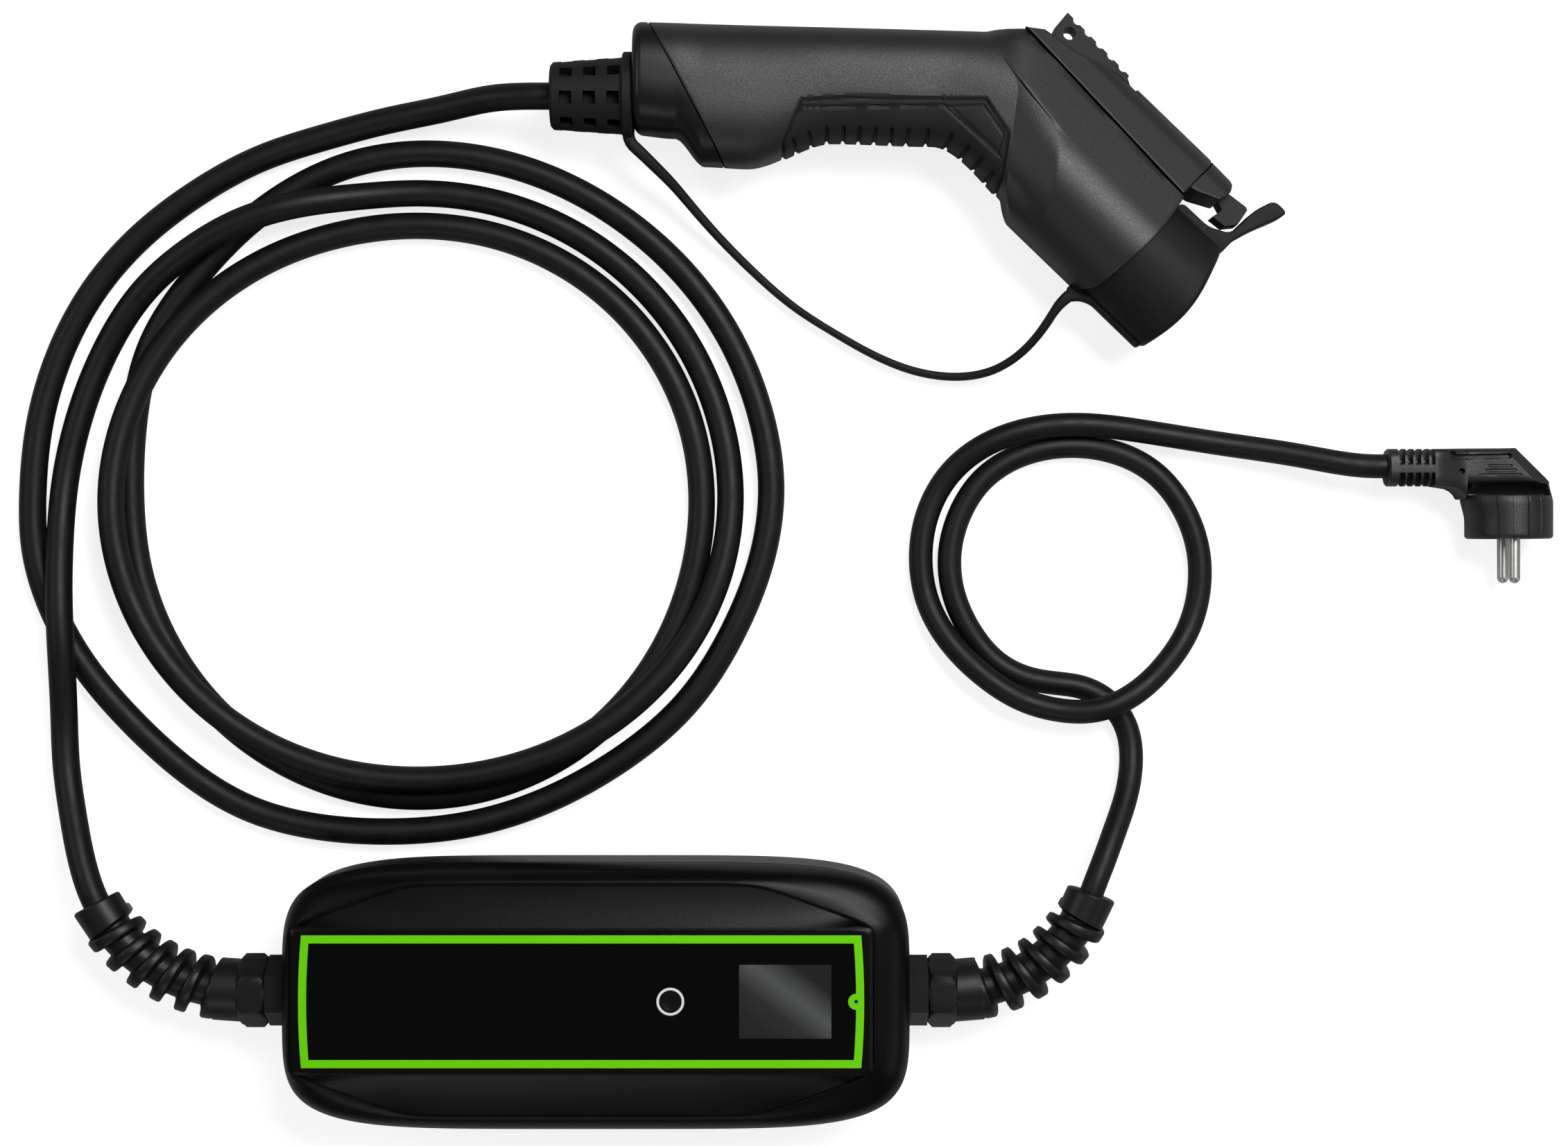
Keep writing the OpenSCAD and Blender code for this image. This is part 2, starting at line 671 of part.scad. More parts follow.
module gland_nut(cable_d, bend) {
    core_from = relief_plain;
    core_to = relief_l - collar_l;
    core_r = relief_core_d / 2;
    bore_r = cable_d / 2 + 0.6;
    color(black) difference() {
        union() {
            along_x(nut_x + fit) hexagon(nut_flats, nut_hex_l - fit);
            relief_turned(concat(
                [[-0.5, relief_d / 2], [core_from / 2, relief_d / 2], [core_from, relief_d / 2]],
                [for (i = [0 : 5]) [core_from + (core_to - core_from) * i / 5, core_r]],
                [[core_to, collar_d / 2], [relief_l - collar_l / 2, collar_d / 2], [relief_l - 1, collar_d / 2],
                    [relief_l, collar_d / 2 - 1]]), bend, 24);
            relief_fin(bend);
        }
        along_x(nut_x - 1) cylinder(d = thread_d + 2 * fit, h = nut_hex_l - fit);
        relief_turned([for (i = [0 : 8]) [-3 + (relief_l + 4) * i / 8, bore_r]], bend, 16);
    }
}

module charge_gland_body() { gland_side(-1) gland_body(charge_d); }
module charge_gland_nut() { gland_side(-1) gland_nut(charge_d, charge_bend); }
module charge_gland_locknut() { gland_side(-1) gland_locknut(); }
module charge_gland_seal() { gland_side(-1) gland_seal(charge_d); }
module mains_gland_body() { gland_side(1) gland_body(mains_d); }
module mains_gland_nut() { gland_side(1) gland_nut(mains_d, mains_bend); }
module mains_gland_locknut() { gland_side(1) gland_locknut(); }
module mains_gland_seal() { gland_side(1) gland_seal(mains_d); }

// Sweep: a section of half sizes a (level) and b (upright) carried along a route
function unit(v) = v / norm(v);

function route_tangent(route, i) =
    unit(route[min(i + 1, len(route) - 1)] - route[max(i - 1, 0)]);

function sweep_ring(route, i, a, b, sides) =
    let (along = route_tangent(route, i),
         level = unit(cross(along, [0, 0, 1])),
         up = cross(level, along))
    [for (k = [0 : sides - 1])
        route[i] + level * a * cos(360 * (k + 0.5) / sides) - up * b * sin(360 * (k + 0.5) / sides)];

module sweep(route, a, b, sides) {
    skin([for (i = [0 : len(route) - 1]) sweep_ring(route, i, a, b, sides)]);
}

module charge_cable_coil() {
    mid = (coil_r_in + coil_r_out) / 2;
    edge = charge_d / 2;
    color(black) translate([coil_at[0], coil_at[1], 0]) rotate_extrude($fn = 96) polygon([
        [coil_r_in + edge, coil_low], [coil_r_out - edge, coil_low], [coil_r_out, coil_low + edge],
        [coil_r_out, coil_high - edge], [mid, coil_high], [coil_r_in, coil_high - edge], [coil_r_in, coil_low + edge]
    ]);
}

module charge_cable_lead_in() { color(black) sweep(charge_lead_in, charge_d / 2, charge_d / 2, 10); }
module charge_cable_lead_out() { color(black) sweep(charge_lead_out, charge_d / 2, charge_d / 2, 10); }
module mains_cable() { color(black) sweep(mains_route, mains_d / 2, mains_d / 2, 10); }

// Connector handle: sections across x, chained
module in_handle() { translate(handle_at) children(); }

module in_nose() {
    in_handle() nose_place() children();
}

module nose_place() {
    translate([nose_at[0], nose_at[1], 0]) rotate([0, 0, nose_turn]) children();
}

function corner_inset(x) =
    x >= handle_corner ? 0 : handle_corner - sqrt(pow(handle_corner, 2) - pow(handle_corner - x, 2));

function handle_low(x) = eased(x, handle_underside);

function handle_ring(x, inset, sides) =
    let (e = inset + corner_inset(x),
         high = handle_top_rear - handle_top_fall * x - e,
         low = handle_low(x) + e,
         half_w = eased(x, handle_width) - e)
    [for (i = [0 : sides - 1])
        let (p = superellipse((high - low) / 2, half_w, handle_power, 360 * i / sides))
        [x, (high + low) / 2 + p[0], p[1]]];

module handle_loft(stations, inset, sides) {
    skin([for (x = stations) handle_ring(x, inset, sides)]);
}

module barrel_disc(r, t, n, lean, back) {
    translate([t, n, 0]) rotate([0, 0, lean]) translate([-back, 0, 0]) rotate([0, 90, 0]) cylinder(r = r, h = 1, $fn = 32);
}

// Barrel section: the round nose end and the smaller round of the latch cover's top
module barrel_slab(t, lean, inset, back) {
    top_n = latch_top - latch_cover_r;
    barrel_disc(barrel_r - inset, t, 0, lean, back);
    barrel_disc(latch_cover_r - inset, t - top_n * tan(lean), top_n, lean, back);
}

barrel_lean = atan2(barrel_foot - barrel_crown, barrel_r + groove_rear[1]);
barrel_mid = barrel_foot - barrel_r * tan(barrel_lean);
knuckle_x = 152;

rim_reach = rim_bow + 1;
rim_centre = [rim_bow / 4 - rim_corner, rim_corner - barrel_r];

module handle_form(inset, front = rim_reach, stations = handle_stations, sides = 20) {
    handle_loft(stations, inset, sides);
    hull() nose_place() {
        barrel_slab(front, 0, inset, 1);
        barrel_slab(barrel_mid, barrel_lean, inset, 0);
    }
    hull() {
        skin([handle_ring(knuckle_x - 8, inset + 2, sides), handle_ring(knuckle_x, inset, sides)]);
        nose_place() barrel_slab(barrel_mid, barrel_lean, inset, 0);
    }
}

// Regions that divide the handle, as prisms across it
module prism(points) {
    linear_extrude(far, center = true) polygon(points);
}

module rear_region(shift) {
    slope = (seam_foot[0] - seam_top[0]) / (seam_foot[1] - seam_top[1]);
    prism([
        [-far, 60], [seam_top[0] + slope * (60 - seam_top[1]) + shift, 60],
        [seam_foot[0] + slope * (-60 - seam_foot[1]) + shift, -60], [-far, -60]
    ]);
}

// In front of the rim: a shallow bow across the barrel and a round lower corner
module before_rim() {
    bow_n = 4.8;
    bow_r = (pow(barrel_r - bow_n, 2) + pow(rim_bow, 2)) / (2 * rim_bow);
    nose_place() prism(concat(
        [for (a = [15 : -3 : -9]) [rim_bow - bow_r * (1 - cos(a)), bow_n + bow_r * sin(a)]],
        [for (a = [0 : -15 : -90]) rim_centre + rim_corner * [cos(a), sin(a)]],
        [[rim_centre[0], -60], [60, -60], [60, 80], [-1, 80]]));
}

function groove_n(t) =
    groove_rear[1] + (groove_front[1] - groove_rear[1]) * (t - groove_rear[0]) / (groove_front[0] - groove_rear[0]);

module above_groove(shift) {
    nose_place() prism([
        [groove_rear[0], groove_rear[1] + shift], [groove_front[0], groove_front[1] + shift],
        [groove_front[0], 90], [groove_rear[0], 90]
    ]);
}

module grip_prism(grow) {
    linear_extrude(far, center = true) offset(delta = grow) polygon(grip_region);
}

module at_handle_bosses() {
    for (p = handle_bosses) translate([p[0], p[1], 0]) children();
}

screw_head_z = -12;
screw_reach = 10;

module handle_cavity() {
    difference() {
        handle_form(shell_wall, -cap_seat - front_wall, cavity_stations, 16);
        above_groove(-shell_wall + 0.6);
    }
}

// One half of the handle, split on the mid plane: side 1 is the upper half
module handle_shell(side) {
    color(charcoal) in_handle() difference() {
        union() {
            difference() {
                handle_form(0);
                handle_cavity();
            }
            intersection() {
                handle_form(1);
                at_handle_bosses() cylinder(d = handle_boss_d, h = far, center = true, $fn = 16);
            }
        }
        translate([0, 0, -side * far / 2]) cube([3 * far, 2 * far, far], center = true);
        rear_region(seam_gap);
        above_groove(0);
        before_rim();
        nose_place() translate([-cap_seat, 0, 0]) rotate([0, 90, 0]) cylinder(r = cap_r + slide_fit, h = 60, $fn = 48);
        difference() {
            grip_prism(fit);
            handle_form(grip_t + fit, 0, grip_stations);
        }
        nose_place() rotate([0, 90, 0]) cylinder(r = nose_r + 2 * fit, h = 60, center = true, $fn = 40);
        at_handle_bosses() {
            translate([0, 0, screw_head_z - 1])
                cylinder(d = handle_screw_d + 4 * fit, h = screw_reach + 1 - screw_head_z, $fn = 16);
            translate([0, 0, screw_head_z - far]) cylinder(d = 2.2 * handle_screw_d, h = far, $fn = 16);
        }
    }
}

module handle_shell_upper() { handle_shell(1); }
module handle_shell_lower() { handle_shell(-1); }

module handle_screws() {
    color("silver") in_handle() at_handle_bosses() {
        translate([0, 0, screw_head_z - 2.4]) cylinder(d = 1.8 * handle_screw_d, h = 2.4);
        translate([0, 0, screw_head_z - tiny]) cylinder(d = handle_screw_d, h = screw_reach - screw_head_z);
    }
}

boot_bore = charge_d + 0.6;
neck_in = 9;

module handle_end_cap() {
    color(black) in_handle() difference() {
        intersection() {
            handle_loft(rear_stations, 0, 24);
            rear_region(0);
        }
        handle_loft([neck_in, 17, 30, 50, 60], shell_wall, 20);
        rotate([0, 90, 0]) cylinder(d = boot_neck_d + 2 * fit, h = 3 * neck_in, center = true);
    }
}

// Soft insert round the underside of the grip, with grooves between its ribs
module grip_insert() {
    color("#2a2b2d") in_handle() difference() {
        intersection() {
            handle_form(-grip_proud, 0, grip_stations);
            grip_prism(0);
        }
        handle_form(grip_t, 0, grip_stations);
        difference() {
            for (i = [0 : grip_ribs - 1]) {
                x = rib_first + (rib_last - rib_first) * i / (grip_ribs - 1);
                translate([x, handle_low(x), 0]) rotate([0, 0, x > 132 ? -38 : 0]) hull()
                    for (y = [-1, 1])
                        translate([0, 6 * y, 0]) cylinder(d = 2.4, h = far, center = true, $fn = 8);
            }
            handle_form(0.3, 0, grip_stations);
        }
    }
}

// Cable boot: tapered sleeve with three rows of windows round it and a neck inside the end cap
module cable_boot() {
    seat = tether_ring_w + 0.8;
    rows = 3;
    around = 8;
    first = 7;
    pitch = 10;
    color(black) in_handle() difference() {
        rotate([0, 90, 0]) rotate_extrude() polygon([
            [boot_bore / 2, -boot_l], [boot_tip_d / 2 - 1.2, -boot_l], [boot_tip_d / 2, -boot_l + 1.2],
            [boot_root_d / 2, -seat], [boot_root_d / 2, -fit], [boot_neck_d / 2, -fit], [boot_neck_d / 2, neck_in],
            [boot_bore / 2, neck_in]
        ]);
        for (row = [0 : rows - 1], k = [0 : around - 1])
            rotate([360 * (k + 0.25) / around, 0, 0])
                translate([-boot_l + first + pitch * row, 0, boot_tip_d / 2])
                    cube([boot_window, boot_window, 8], center = true);
    }
}

module cable_clamp() {
    color("#3a3a3c") in_handle() translate([neck_in + fit, 0, 0]) rotate([0, 90, 0]) difference() {
        cylinder(d = boot_neck_d, h = 8);
        translate([0, 0, -1]) cylinder(d = boot_bore, h = 10);
        translate([0, 0, 4]) cube([1.2, far, far], center = true);
    }
}

// Latch: cover over the barrel, lever with thumb pad and hook, hood over the lever's front
function barrel_arc(n, r, from, to, steps) =
    [for (i = [0 : steps]) let (a = from + (to - from) * i / steps) [n + r * cos(a), r * sin(a)]];

module barrel_outline() {
    top_n = latch_top - latch_cover_r;
    side = acos((barrel_r - latch_cover_r) / top_n);
    polygon(concat(barrel_arc(top_n, latch_cover_r, -side, side, 16), barrel_arc(0, barrel_r, side, 360 - side, 24)));
}

module barrel_prism(from, to) {
    translate([from, 0, 0]) rotate([90, 0, 90]) linear_extrude(to - from) barrel_outline();
}

module latch_cover() {
    slot_rear = lever_profile[0][0] - 1.2;
    slot_front = lever_profile[14][0] + 0.6;
    slot_w = lever_w + 3 * slide_fit;
    roof = latch_top - cover_roof;
    color(charcoal) in_nose() difference() {
        intersection() {
            barrel_prism(groove_rear[0], cover_front);
            prism(concat(
                [[groove_rear[0], groove_rear[1] + groove_gap], [cover_front, groove_n(cover_front) + groove_gap],
                    [cover_front, 60]],
                cover_ramp));
        }
        linear_extrude(slot_w, center = true) polygon([
            [slot_rear, 20], [cover_front + 1, 20], [cover_front + 1, roof], [slot_front, roof],
            [slot_front, 80], [slot_rear, 80]
        ]);
        translate([-latch_pin_t, latch_pin_n, 0])
            cylinder(d = latch_pin_d + 2 * pin_fit, h = 2 * (pin_reach() + fit), center = true);
    }
}

function pin_reach() = sqrt(pow(latch_cover_r, 2) - pow(latch_pin_n - latch_top + latch_cover_r, 2)) - 2.4;

module latch_lever() {
    pad_rear = lever_profile[0];
    pad_front = lever_profile[len(lever_profile) - 1];
    color("#151516") in_nose() difference() {
        linear_extrude(lever_w, center = true) polygon(lever_profile);
        translate([-latch_pin_t, latch_pin_n, 0]) cylinder(d = latch_pin_d + 2 * pin_fit, h = far, center = true);
        translate([thumb_hole[0], thumb_hole[1], 0]) cylinder(d = lock_hole_d, h = far, center = true);
        for (i = [1 : thumb_ridges]) {
            p = pad_rear + (pad_front - pad_rear) * (i - 0.2) / (thumb_ridges + 0.4);
            translate([p[0], p[1] + 1.1, 0]) cylinder(r = 2.2, h = far, center = true);
        }
    }
}

module latch_hood() {
    color(charcoal) in_nose() difference() {
        intersection() {
            barrel_prism(hood_rear, hood_front);
            prism([
                [hood_rear, 33.4], [hood_front, 38.6], [hood_front - 1, latch_top - 1.4], [hood_rear, latch_top - 1]
            ]);
        }
        linear_extrude(lever_w + 2 * fit, center = true)
            polygon([[-20, 20], [40, 20], [40, 46], [-20, 46]]);
    }
}

module latch_pin() {
    color("silver") in_nose() translate([-latch_pin_t, latch_pin_n, 0])
        cylinder(d = latch_pin_d, h = 2 * pin_reach(), center = true);
}

// Return spring under the lever's rear arm, drawn at its pressed length
module latch_spring() {
    turns = 3;
    steps = 10;
    wire = 0.9;
    coil_r = 2.8;
    rise = 1.1;
    helix = [
        for (i = [0 : turns * steps])
            [coil_r * cos(360 * i / steps), coil_r * sin(360 * i / steps), wire / 2 + rise * i / steps]
    ];
    color("silver") in_nose() translate([-72, 35.8, 0]) rotate([-90, 0, 0]) sweep(helix, wire / 2, wire / 2, 5);
}

module latch_switch() {
    body_n = groove_n(-20);
    color("#28282b") in_nose() translate([-20, body_n, 0]) {
        translate([-6.4, 0.5, -3]) cube([12.8, 5.2, 6]);
        translate([2, 5, 0]) rotate([-90, 0, 0]) cylinder(d = 1.8, h = 38.2 - body_n - 5.4);
    }
}

// Nose insert and its contacts; places are height above the nose axis and distance sideways
module at_contacts(places) {
    for (p = places) translate([0, p[0], p[1]]) rotate([0, 90, 0]) children();
}

module nose_insert() {
    rear = -cap_seat - front_wall - fit - nose_flange_t;
    flange_r = barrel_r - shell_wall - slide_fit;
    color("#202022") in_nose() difference() {
        rotate([0, 90, 0]) rotate_extrude() polygon([
            [0, rear], [flange_r, rear], [flange_r, rear + nose_flange_t], [nose_r, rear + nose_flange_t],
            [nose_r, nose_l - 1.5], [nose_r - 1.5, nose_l], [0, nose_l]
        ]);
        at_contacts(power_places) cylinder(d = contact_d[0], h = far, center = true);
        at_contacts(earth_place) cylinder(d = contact_d[1], h = far, center = true);
        at_contacts(signal_places) cylinder(d = contact_d[2], h = far, center = true);
    }
}

module contact_sleeve(kind) {
    translate([0, 0, nose_l - contact_recess - contact_l]) difference() {
        cylinder(d = contact_d[kind] - 2 * pin_fit, h = contact_l);
        translate([0, 0, contact_l / 3]) cylinder(d = contact_bore_d[kind], h = contact_l);
    }
}

module power_contacts() { color("#c9b27a") in_nose() at_contacts(power_places) contact_sleeve(0); }
module earth_contact() { color("#c9b27a") in_nose() at_contacts(earth_place) contact_sleeve(1); }
module signal_contacts() { color("#c9b27a") in_nose() at_contacts(signal_places) contact_sleeve(2); }

// Dust cap: round cup seated in the barrel, its front an S-curve, with a keel, a lug for the strap and a pull tab
cap_wave_n = -9;
cap_wave = 42;

function cap_front_t(n) = cap_front + cap_swing * cos(180 * (n - cap_wave_n) / cap_wave);

module dust_cap() {
    inner_r = nose_r + slide_fit;
    inner_end = nose_l + slide_fit;
    rear = slide_fit - cap_seat;
    keel_rear = rim_centre[0];
    keel_n = -cap_r - 1.6;
    keel_front = cap_front_t(keel_n) - 1;
    color(black) in_nose() difference() {
        union() {
            intersection() {
                translate([rear, 0, 0]) rotate([0, 90, 0]) cylinder(r = cap_r, h = 60);
                prism(concat([[rear - 1, cap_r + 1], [rear - 1, -cap_r - 1]],
                    [for (i = [0 : 14]) let (n = (cap_r + 1) * (i / 7 - 1)) [cap_front_t(n), n]]));
            }
            linear_extrude(keel_w, center = true) polygon(concat(
                [[0, -inner_r - 1], [keel_front, -inner_r - 1], [keel_front, keel_n], [keel_rear + 9, keel_n]],
                [[keel_rear + 7, tether_lug_n], [keel_rear, tether_lug_n]],
                [for (a = [-90 : 14 : -48]) rim_centre + (rim_corner + slide_fit) * [cos(a), sin(a)]]));
            linear_extrude(tab_w, center = true) polygon(tab_profile);
        }
        translate([rear - 1, 0, 0]) rotate([0, 90, 0]) cylinder(r = inner_r, h = inner_end - rear + 1);
    }
}

tether_lug_n = -33.5;

module tether_ring() {
    color(black) in_handle() rotate([0, 90, 0]) rotate_extrude() polygon([
        [boot_root_d / 2 + fit, -tether_ring_w - 0.3], [tether_ring_d / 2 - 0.6, -tether_ring_w - 0.3],
        [tether_ring_d / 2, -tether_ring_w + 0.3], [tether_ring_d / 2, -0.9], [tether_ring_d / 2 - 0.6, -0.3],
        [boot_root_d / 2 + fit, -0.3]
    ]);
}

module cap_tether() { color(black) sweep(tether_route, tether_t / 2, tether_w / 2, 8); }

// Mains plug: round face block, arm that turns into the neck, ribbed neck
module in_plug() { translate(plug_at) children(); }

plug_top = 39;
notch_w = 8;
notch_depth = 3;
notch_rib = 2;
clip_w = 4;
clip_t = 0.8;
clip_l = 18;

module plug_body() {
    neck_from = plug_neck_x - neck_l;
    slots = 5;
    color(black) in_plug() difference() {
        union() {
            rotate([-90, 0, 0]) cylinder(d = plug_d, h = plug_depth);
            hull() {
                translate([0, plug_depth - 2, 0]) rotate([-90, 0, 0]) cylinder(d = plug_d, h = 2.5, $fn = 32);
                translate([plug_neck_x, plug_arm_y, 0]) rotate([0, 90, 0]) cylinder(d = neck_d, h = 2, $fn = 32);
                for (z = [-1, 1])
                    translate([plug_neck_x + 8, plug_top - 3, z * 7]) rotate([0, 90, 0]) cylinder(r = 3, h = 24, $fn = 32);
            }
            translate([neck_from, plug_arm_y, 0]) rotate([0, 90, 0]) cylinder(d1 = neck_d - 1, d2 = neck_d, h = neck_l + 1);
        }
        for (z = [-1, 1], x = [-1, 1])
            translate([x * (notch_w + notch_rib) / 4, plug_depth / 2 - 2, z * plug_d / 2])
                cube([(notch_w - notch_rib) / 2, plug_depth, 2 * notch_depth], center = true);
        for (z = [-1, 1])
            translate([0, -1, z * pin_gap / 2]) rotate([-90, 0, 0]) cylinder(d = pin_d + 2 * fit, h = 13);
        for (x = [-1, 1])
            translate([x * plug_d / 2, clip_l / 2 - 0.5, 0]) cube([2 * clip_t + 2.4, clip_l + 1, clip_w + 2 * fit], center = true);
        for (i = [0 : slots - 1], y = [-1, 1], z = [-1, 1])
            translate([neck_from + 4 + 3.6 * i, plug_arm_y + 4 * y, z * neck_d / 2]) cube([2, 5.6, 8], center = true);
        translate([neck_from - 1, plug_arm_y, 0]) rotate([0, 90, 0]) cylinder(d = mains_d + 0.6, h = 10);
    }
}

module plug_pins() {
    color("silver") in_plug() for (z = [-1, 1])
        translate([0, 0, z * pin_gap / 2]) {
            rotate([90, 0, 0]) cylinder(d = pin_d, h = pin_l - pin_d / 2);
            rotate([-90, 0, 0]) translate([0, 0, -tiny]) cylinder(d = pin_d - 0.8, h = 11.5);
            translate([0, -pin_l + pin_d / 2, 0]) sphere(d = pin_d);
        }
}

module plug_earth_clips() {
    color("silver") in_plug() for (x = [-1, 1])
        translate([x * (plug_d / 2 - 1.2 - clip_t / 2), clip_l / 2, 0]) cube([clip_t, clip_l, clip_w], center = true);
}

box_base();
box_cover();
box_seal();
accent_frame();
face_panel();
display_window();
button_ring();
control_button();
display_module();
display_board();
button_switch();
main_board();
board_screws();
relays();
current_sensor();
power_module();
capacitors();
terminal_blocks();
case_screws();
charge_gland_body();
charge_gland_nut();
charge_gland_locknut();
charge_gland_seal();
mains_gland_body();
mains_gland_nut();
mains_gland_locknut();
mains_gland_seal();
charge_cable_coil();
charge_cable_lead_in();
charge_cable_lead_out();
mains_cable();
handle_shell_upper();
handle_shell_lower();
handle_end_cap();
grip_insert();
handle_screws();
cable_boot();
cable_clamp();
latch_cover();
latch_lever();
latch_hood();
latch_pin();
latch_spring();
latch_switch();
nose_insert();
power_contacts();
earth_contact();
signal_contacts();
dust_cap();
tether_ring();
cap_tether();
plug_body();
plug_pins();
plug_earth_clips();
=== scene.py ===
"""Portable car charger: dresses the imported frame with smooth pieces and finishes, and sets the stage."""
import json
import math

import bmesh
import bpy
import numpy as np
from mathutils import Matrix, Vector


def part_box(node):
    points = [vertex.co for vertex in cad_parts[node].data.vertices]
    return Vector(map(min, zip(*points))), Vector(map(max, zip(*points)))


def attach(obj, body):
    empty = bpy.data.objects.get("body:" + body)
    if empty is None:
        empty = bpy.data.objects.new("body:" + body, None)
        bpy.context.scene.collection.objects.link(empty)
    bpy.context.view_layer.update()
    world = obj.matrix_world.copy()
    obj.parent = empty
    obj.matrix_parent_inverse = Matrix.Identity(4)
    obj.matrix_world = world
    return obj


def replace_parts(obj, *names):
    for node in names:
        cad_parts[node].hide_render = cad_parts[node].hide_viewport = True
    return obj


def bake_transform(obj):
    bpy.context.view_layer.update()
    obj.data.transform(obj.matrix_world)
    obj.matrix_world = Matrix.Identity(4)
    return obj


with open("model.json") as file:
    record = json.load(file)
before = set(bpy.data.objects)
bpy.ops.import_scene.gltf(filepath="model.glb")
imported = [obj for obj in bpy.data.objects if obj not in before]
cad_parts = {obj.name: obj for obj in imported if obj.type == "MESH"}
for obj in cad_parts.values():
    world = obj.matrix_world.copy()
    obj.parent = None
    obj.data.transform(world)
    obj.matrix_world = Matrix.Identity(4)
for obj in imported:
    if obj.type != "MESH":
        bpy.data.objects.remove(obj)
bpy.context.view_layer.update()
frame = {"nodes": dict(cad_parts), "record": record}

bl_info = {
    "name": "Portable Car Charger",
    "version": (1, 0, 0),
    "blender": (4, 5, 0),
    "location": "3D View > Sidebar > Charger",
    "description": "Builds the pieces and finishes of a portable car charger on its packed frame",
    "category": "Object",
}

MM = 0.001
ROOT = "charger"
TAU = 2 * np.pi


def tint(red, green, blue):
    """Linear colour of display values from 0 to 255."""
    shares = np.array([red, green, blue]) / 255
    return tuple(np.where(shares <= 0.04045, shares / 12.92, ((shares + 0.055) / 1.055) ** 2.4))


def length_size(label, about, default):
    """A length property in metres, given in millimetres."""
    return bpy.props.FloatProperty(
        name=label, description=about, default=default * MM, min=0.0, unit="LENGTH", precision=5)


def number(label, about, default, least=0.0, unit="NONE"):
    """A plain number property."""
    return bpy.props.FloatProperty(name=label, description=about, default=default, min=least, unit=unit)


def colour(label, about, default):
    """A colour property."""
    return bpy.props.FloatVectorProperty(
        name=label, description=about, default=default, size=3, min=0.0, max=1.0, subtype="COLOR")


# Settings


class BoxSettings(bpy.types.PropertyGroup):
    """Sizes and colours of the control box."""
    length: length_size("Length", "Length of the box at its parting line", 262)
    width: length_size("Width", "Width of the box at its parting line", 111)
    height: length_size("Height", "Height of the box to its top band", 60)
    parting: length_size("Parting line", "Height of the line between base and cover", 42)
    seal: length_size("Seal", "Gap at the parting line that the seal fills", 0.8)
    squareness: number("Squareness", "Exponent of the box's outline", 5.2, 2.0)
    deck_length: length_size("Deck length", "Length of the deck at its crease", 243)
    deck_width: length_size("Deck width", "Width of the deck at its crease", 97)
    band_length: length_size("Band length", "Length of the raised band round the panel", 237.5)
    band_width: length_size("Band width", "Width of the raised band round the panel", 59)
    shell: colour("Shell", "Colour of the moulded box", tint(6, 6, 7))
    accent: colour("Accent", "Colour of the line round the panel", tint(106, 214, 0))
    panel: colour("Panel", "Colour of the gloss panel", tint(5, 5, 6))


class CableSettings(bpy.types.PropertyGroup):
    """Sizes and colours of the cables and glands."""
    charge: length_size("Charging cable", "Diameter of the charging cable", 11.5)
    mains: length_size("Mains cable", "Diameter of the mains cable", 10.3)
    jacket: colour("Jacket", "Colour of the cables", tint(14, 14, 15))
    gland: colour("Gland", "Colour of the glands and reliefs", tint(16, 16, 17))


class ConnectorSettings(bpy.types.PropertyGroup):
    """Sizes and colours of the connector and the plug."""
    housing: colour("Housing", "Colour of the connector's housing", tint(30, 30, 31))
    rear: colour("Rear cap", "Colour of the smooth rear cap", tint(16, 16, 17))
    grip: colour("Grip", "Colour of the soft grip", tint(28, 28, 29))
    dust_cap: colour("Dust cap", "Colour of the dust cap and its strap", tint(17, 17, 18))
    plug: colour("Plug", "Colour of the mains plug", tint(24, 24, 25))
    metal: colour("Metal", "Colour of the plug's pins", tint(214, 214, 210))


class StageSettings(bpy.types.PropertyGroup):
    """Camera, floor and lights."""
    camera_height: length_size("Camera height", "Height of the camera above the floor", 1200)
    camera_x: length_size("Camera X", "Place of the camera across the floor", 78.5)
    camera_y: length_size("Camera Y", "Place of the camera up the floor", 176.4)
    lens: number("Lens", "Focal length on a 36 mm sensor", 63.6, 1.0, "CAMERA")
    softbox: number("Softboxes", "Power that each softbox has its share of", 12.0, unit="POWER")
    world_light: number("Room light", "Strength of the even room light", 0.06)
    floor: colour("Floor", "Colour of the floor", (0.45, 0.45, 0.45))
    floor_glow: number("Floor glow", "Light of the floor to the camera, as on a light table", 0.8)


# Surfaces: all sizes in millimetres until a piece is made


def even_step(share):
    """Smooth step from 0 to 1: three times the square less twice the cube."""
    share = np.clip(share, 0, 1)
    return share * share * (3 - 2 * share)


def round_turn(count):
    """Angles evenly round a circle."""
    return TAU * np.arange(count) / count


def eased(x, keys):
    """Value at x between keyed pairs by a smooth step, so that it is level at each key."""
    places, values = np.array(keys, float).T
    i = np.clip(np.searchsorted(places, x, side="right") - 1, 0, len(places) - 2)
    share = even_step((x - places[i]) / (places[i + 1] - places[i]))
    return values[i] + (values[i + 1] - values[i]) * share


def unit(vectors):
    """Vectors of length one."""
    return vectors / np.linalg.norm(vectors, axis=-1, keepdims=True)


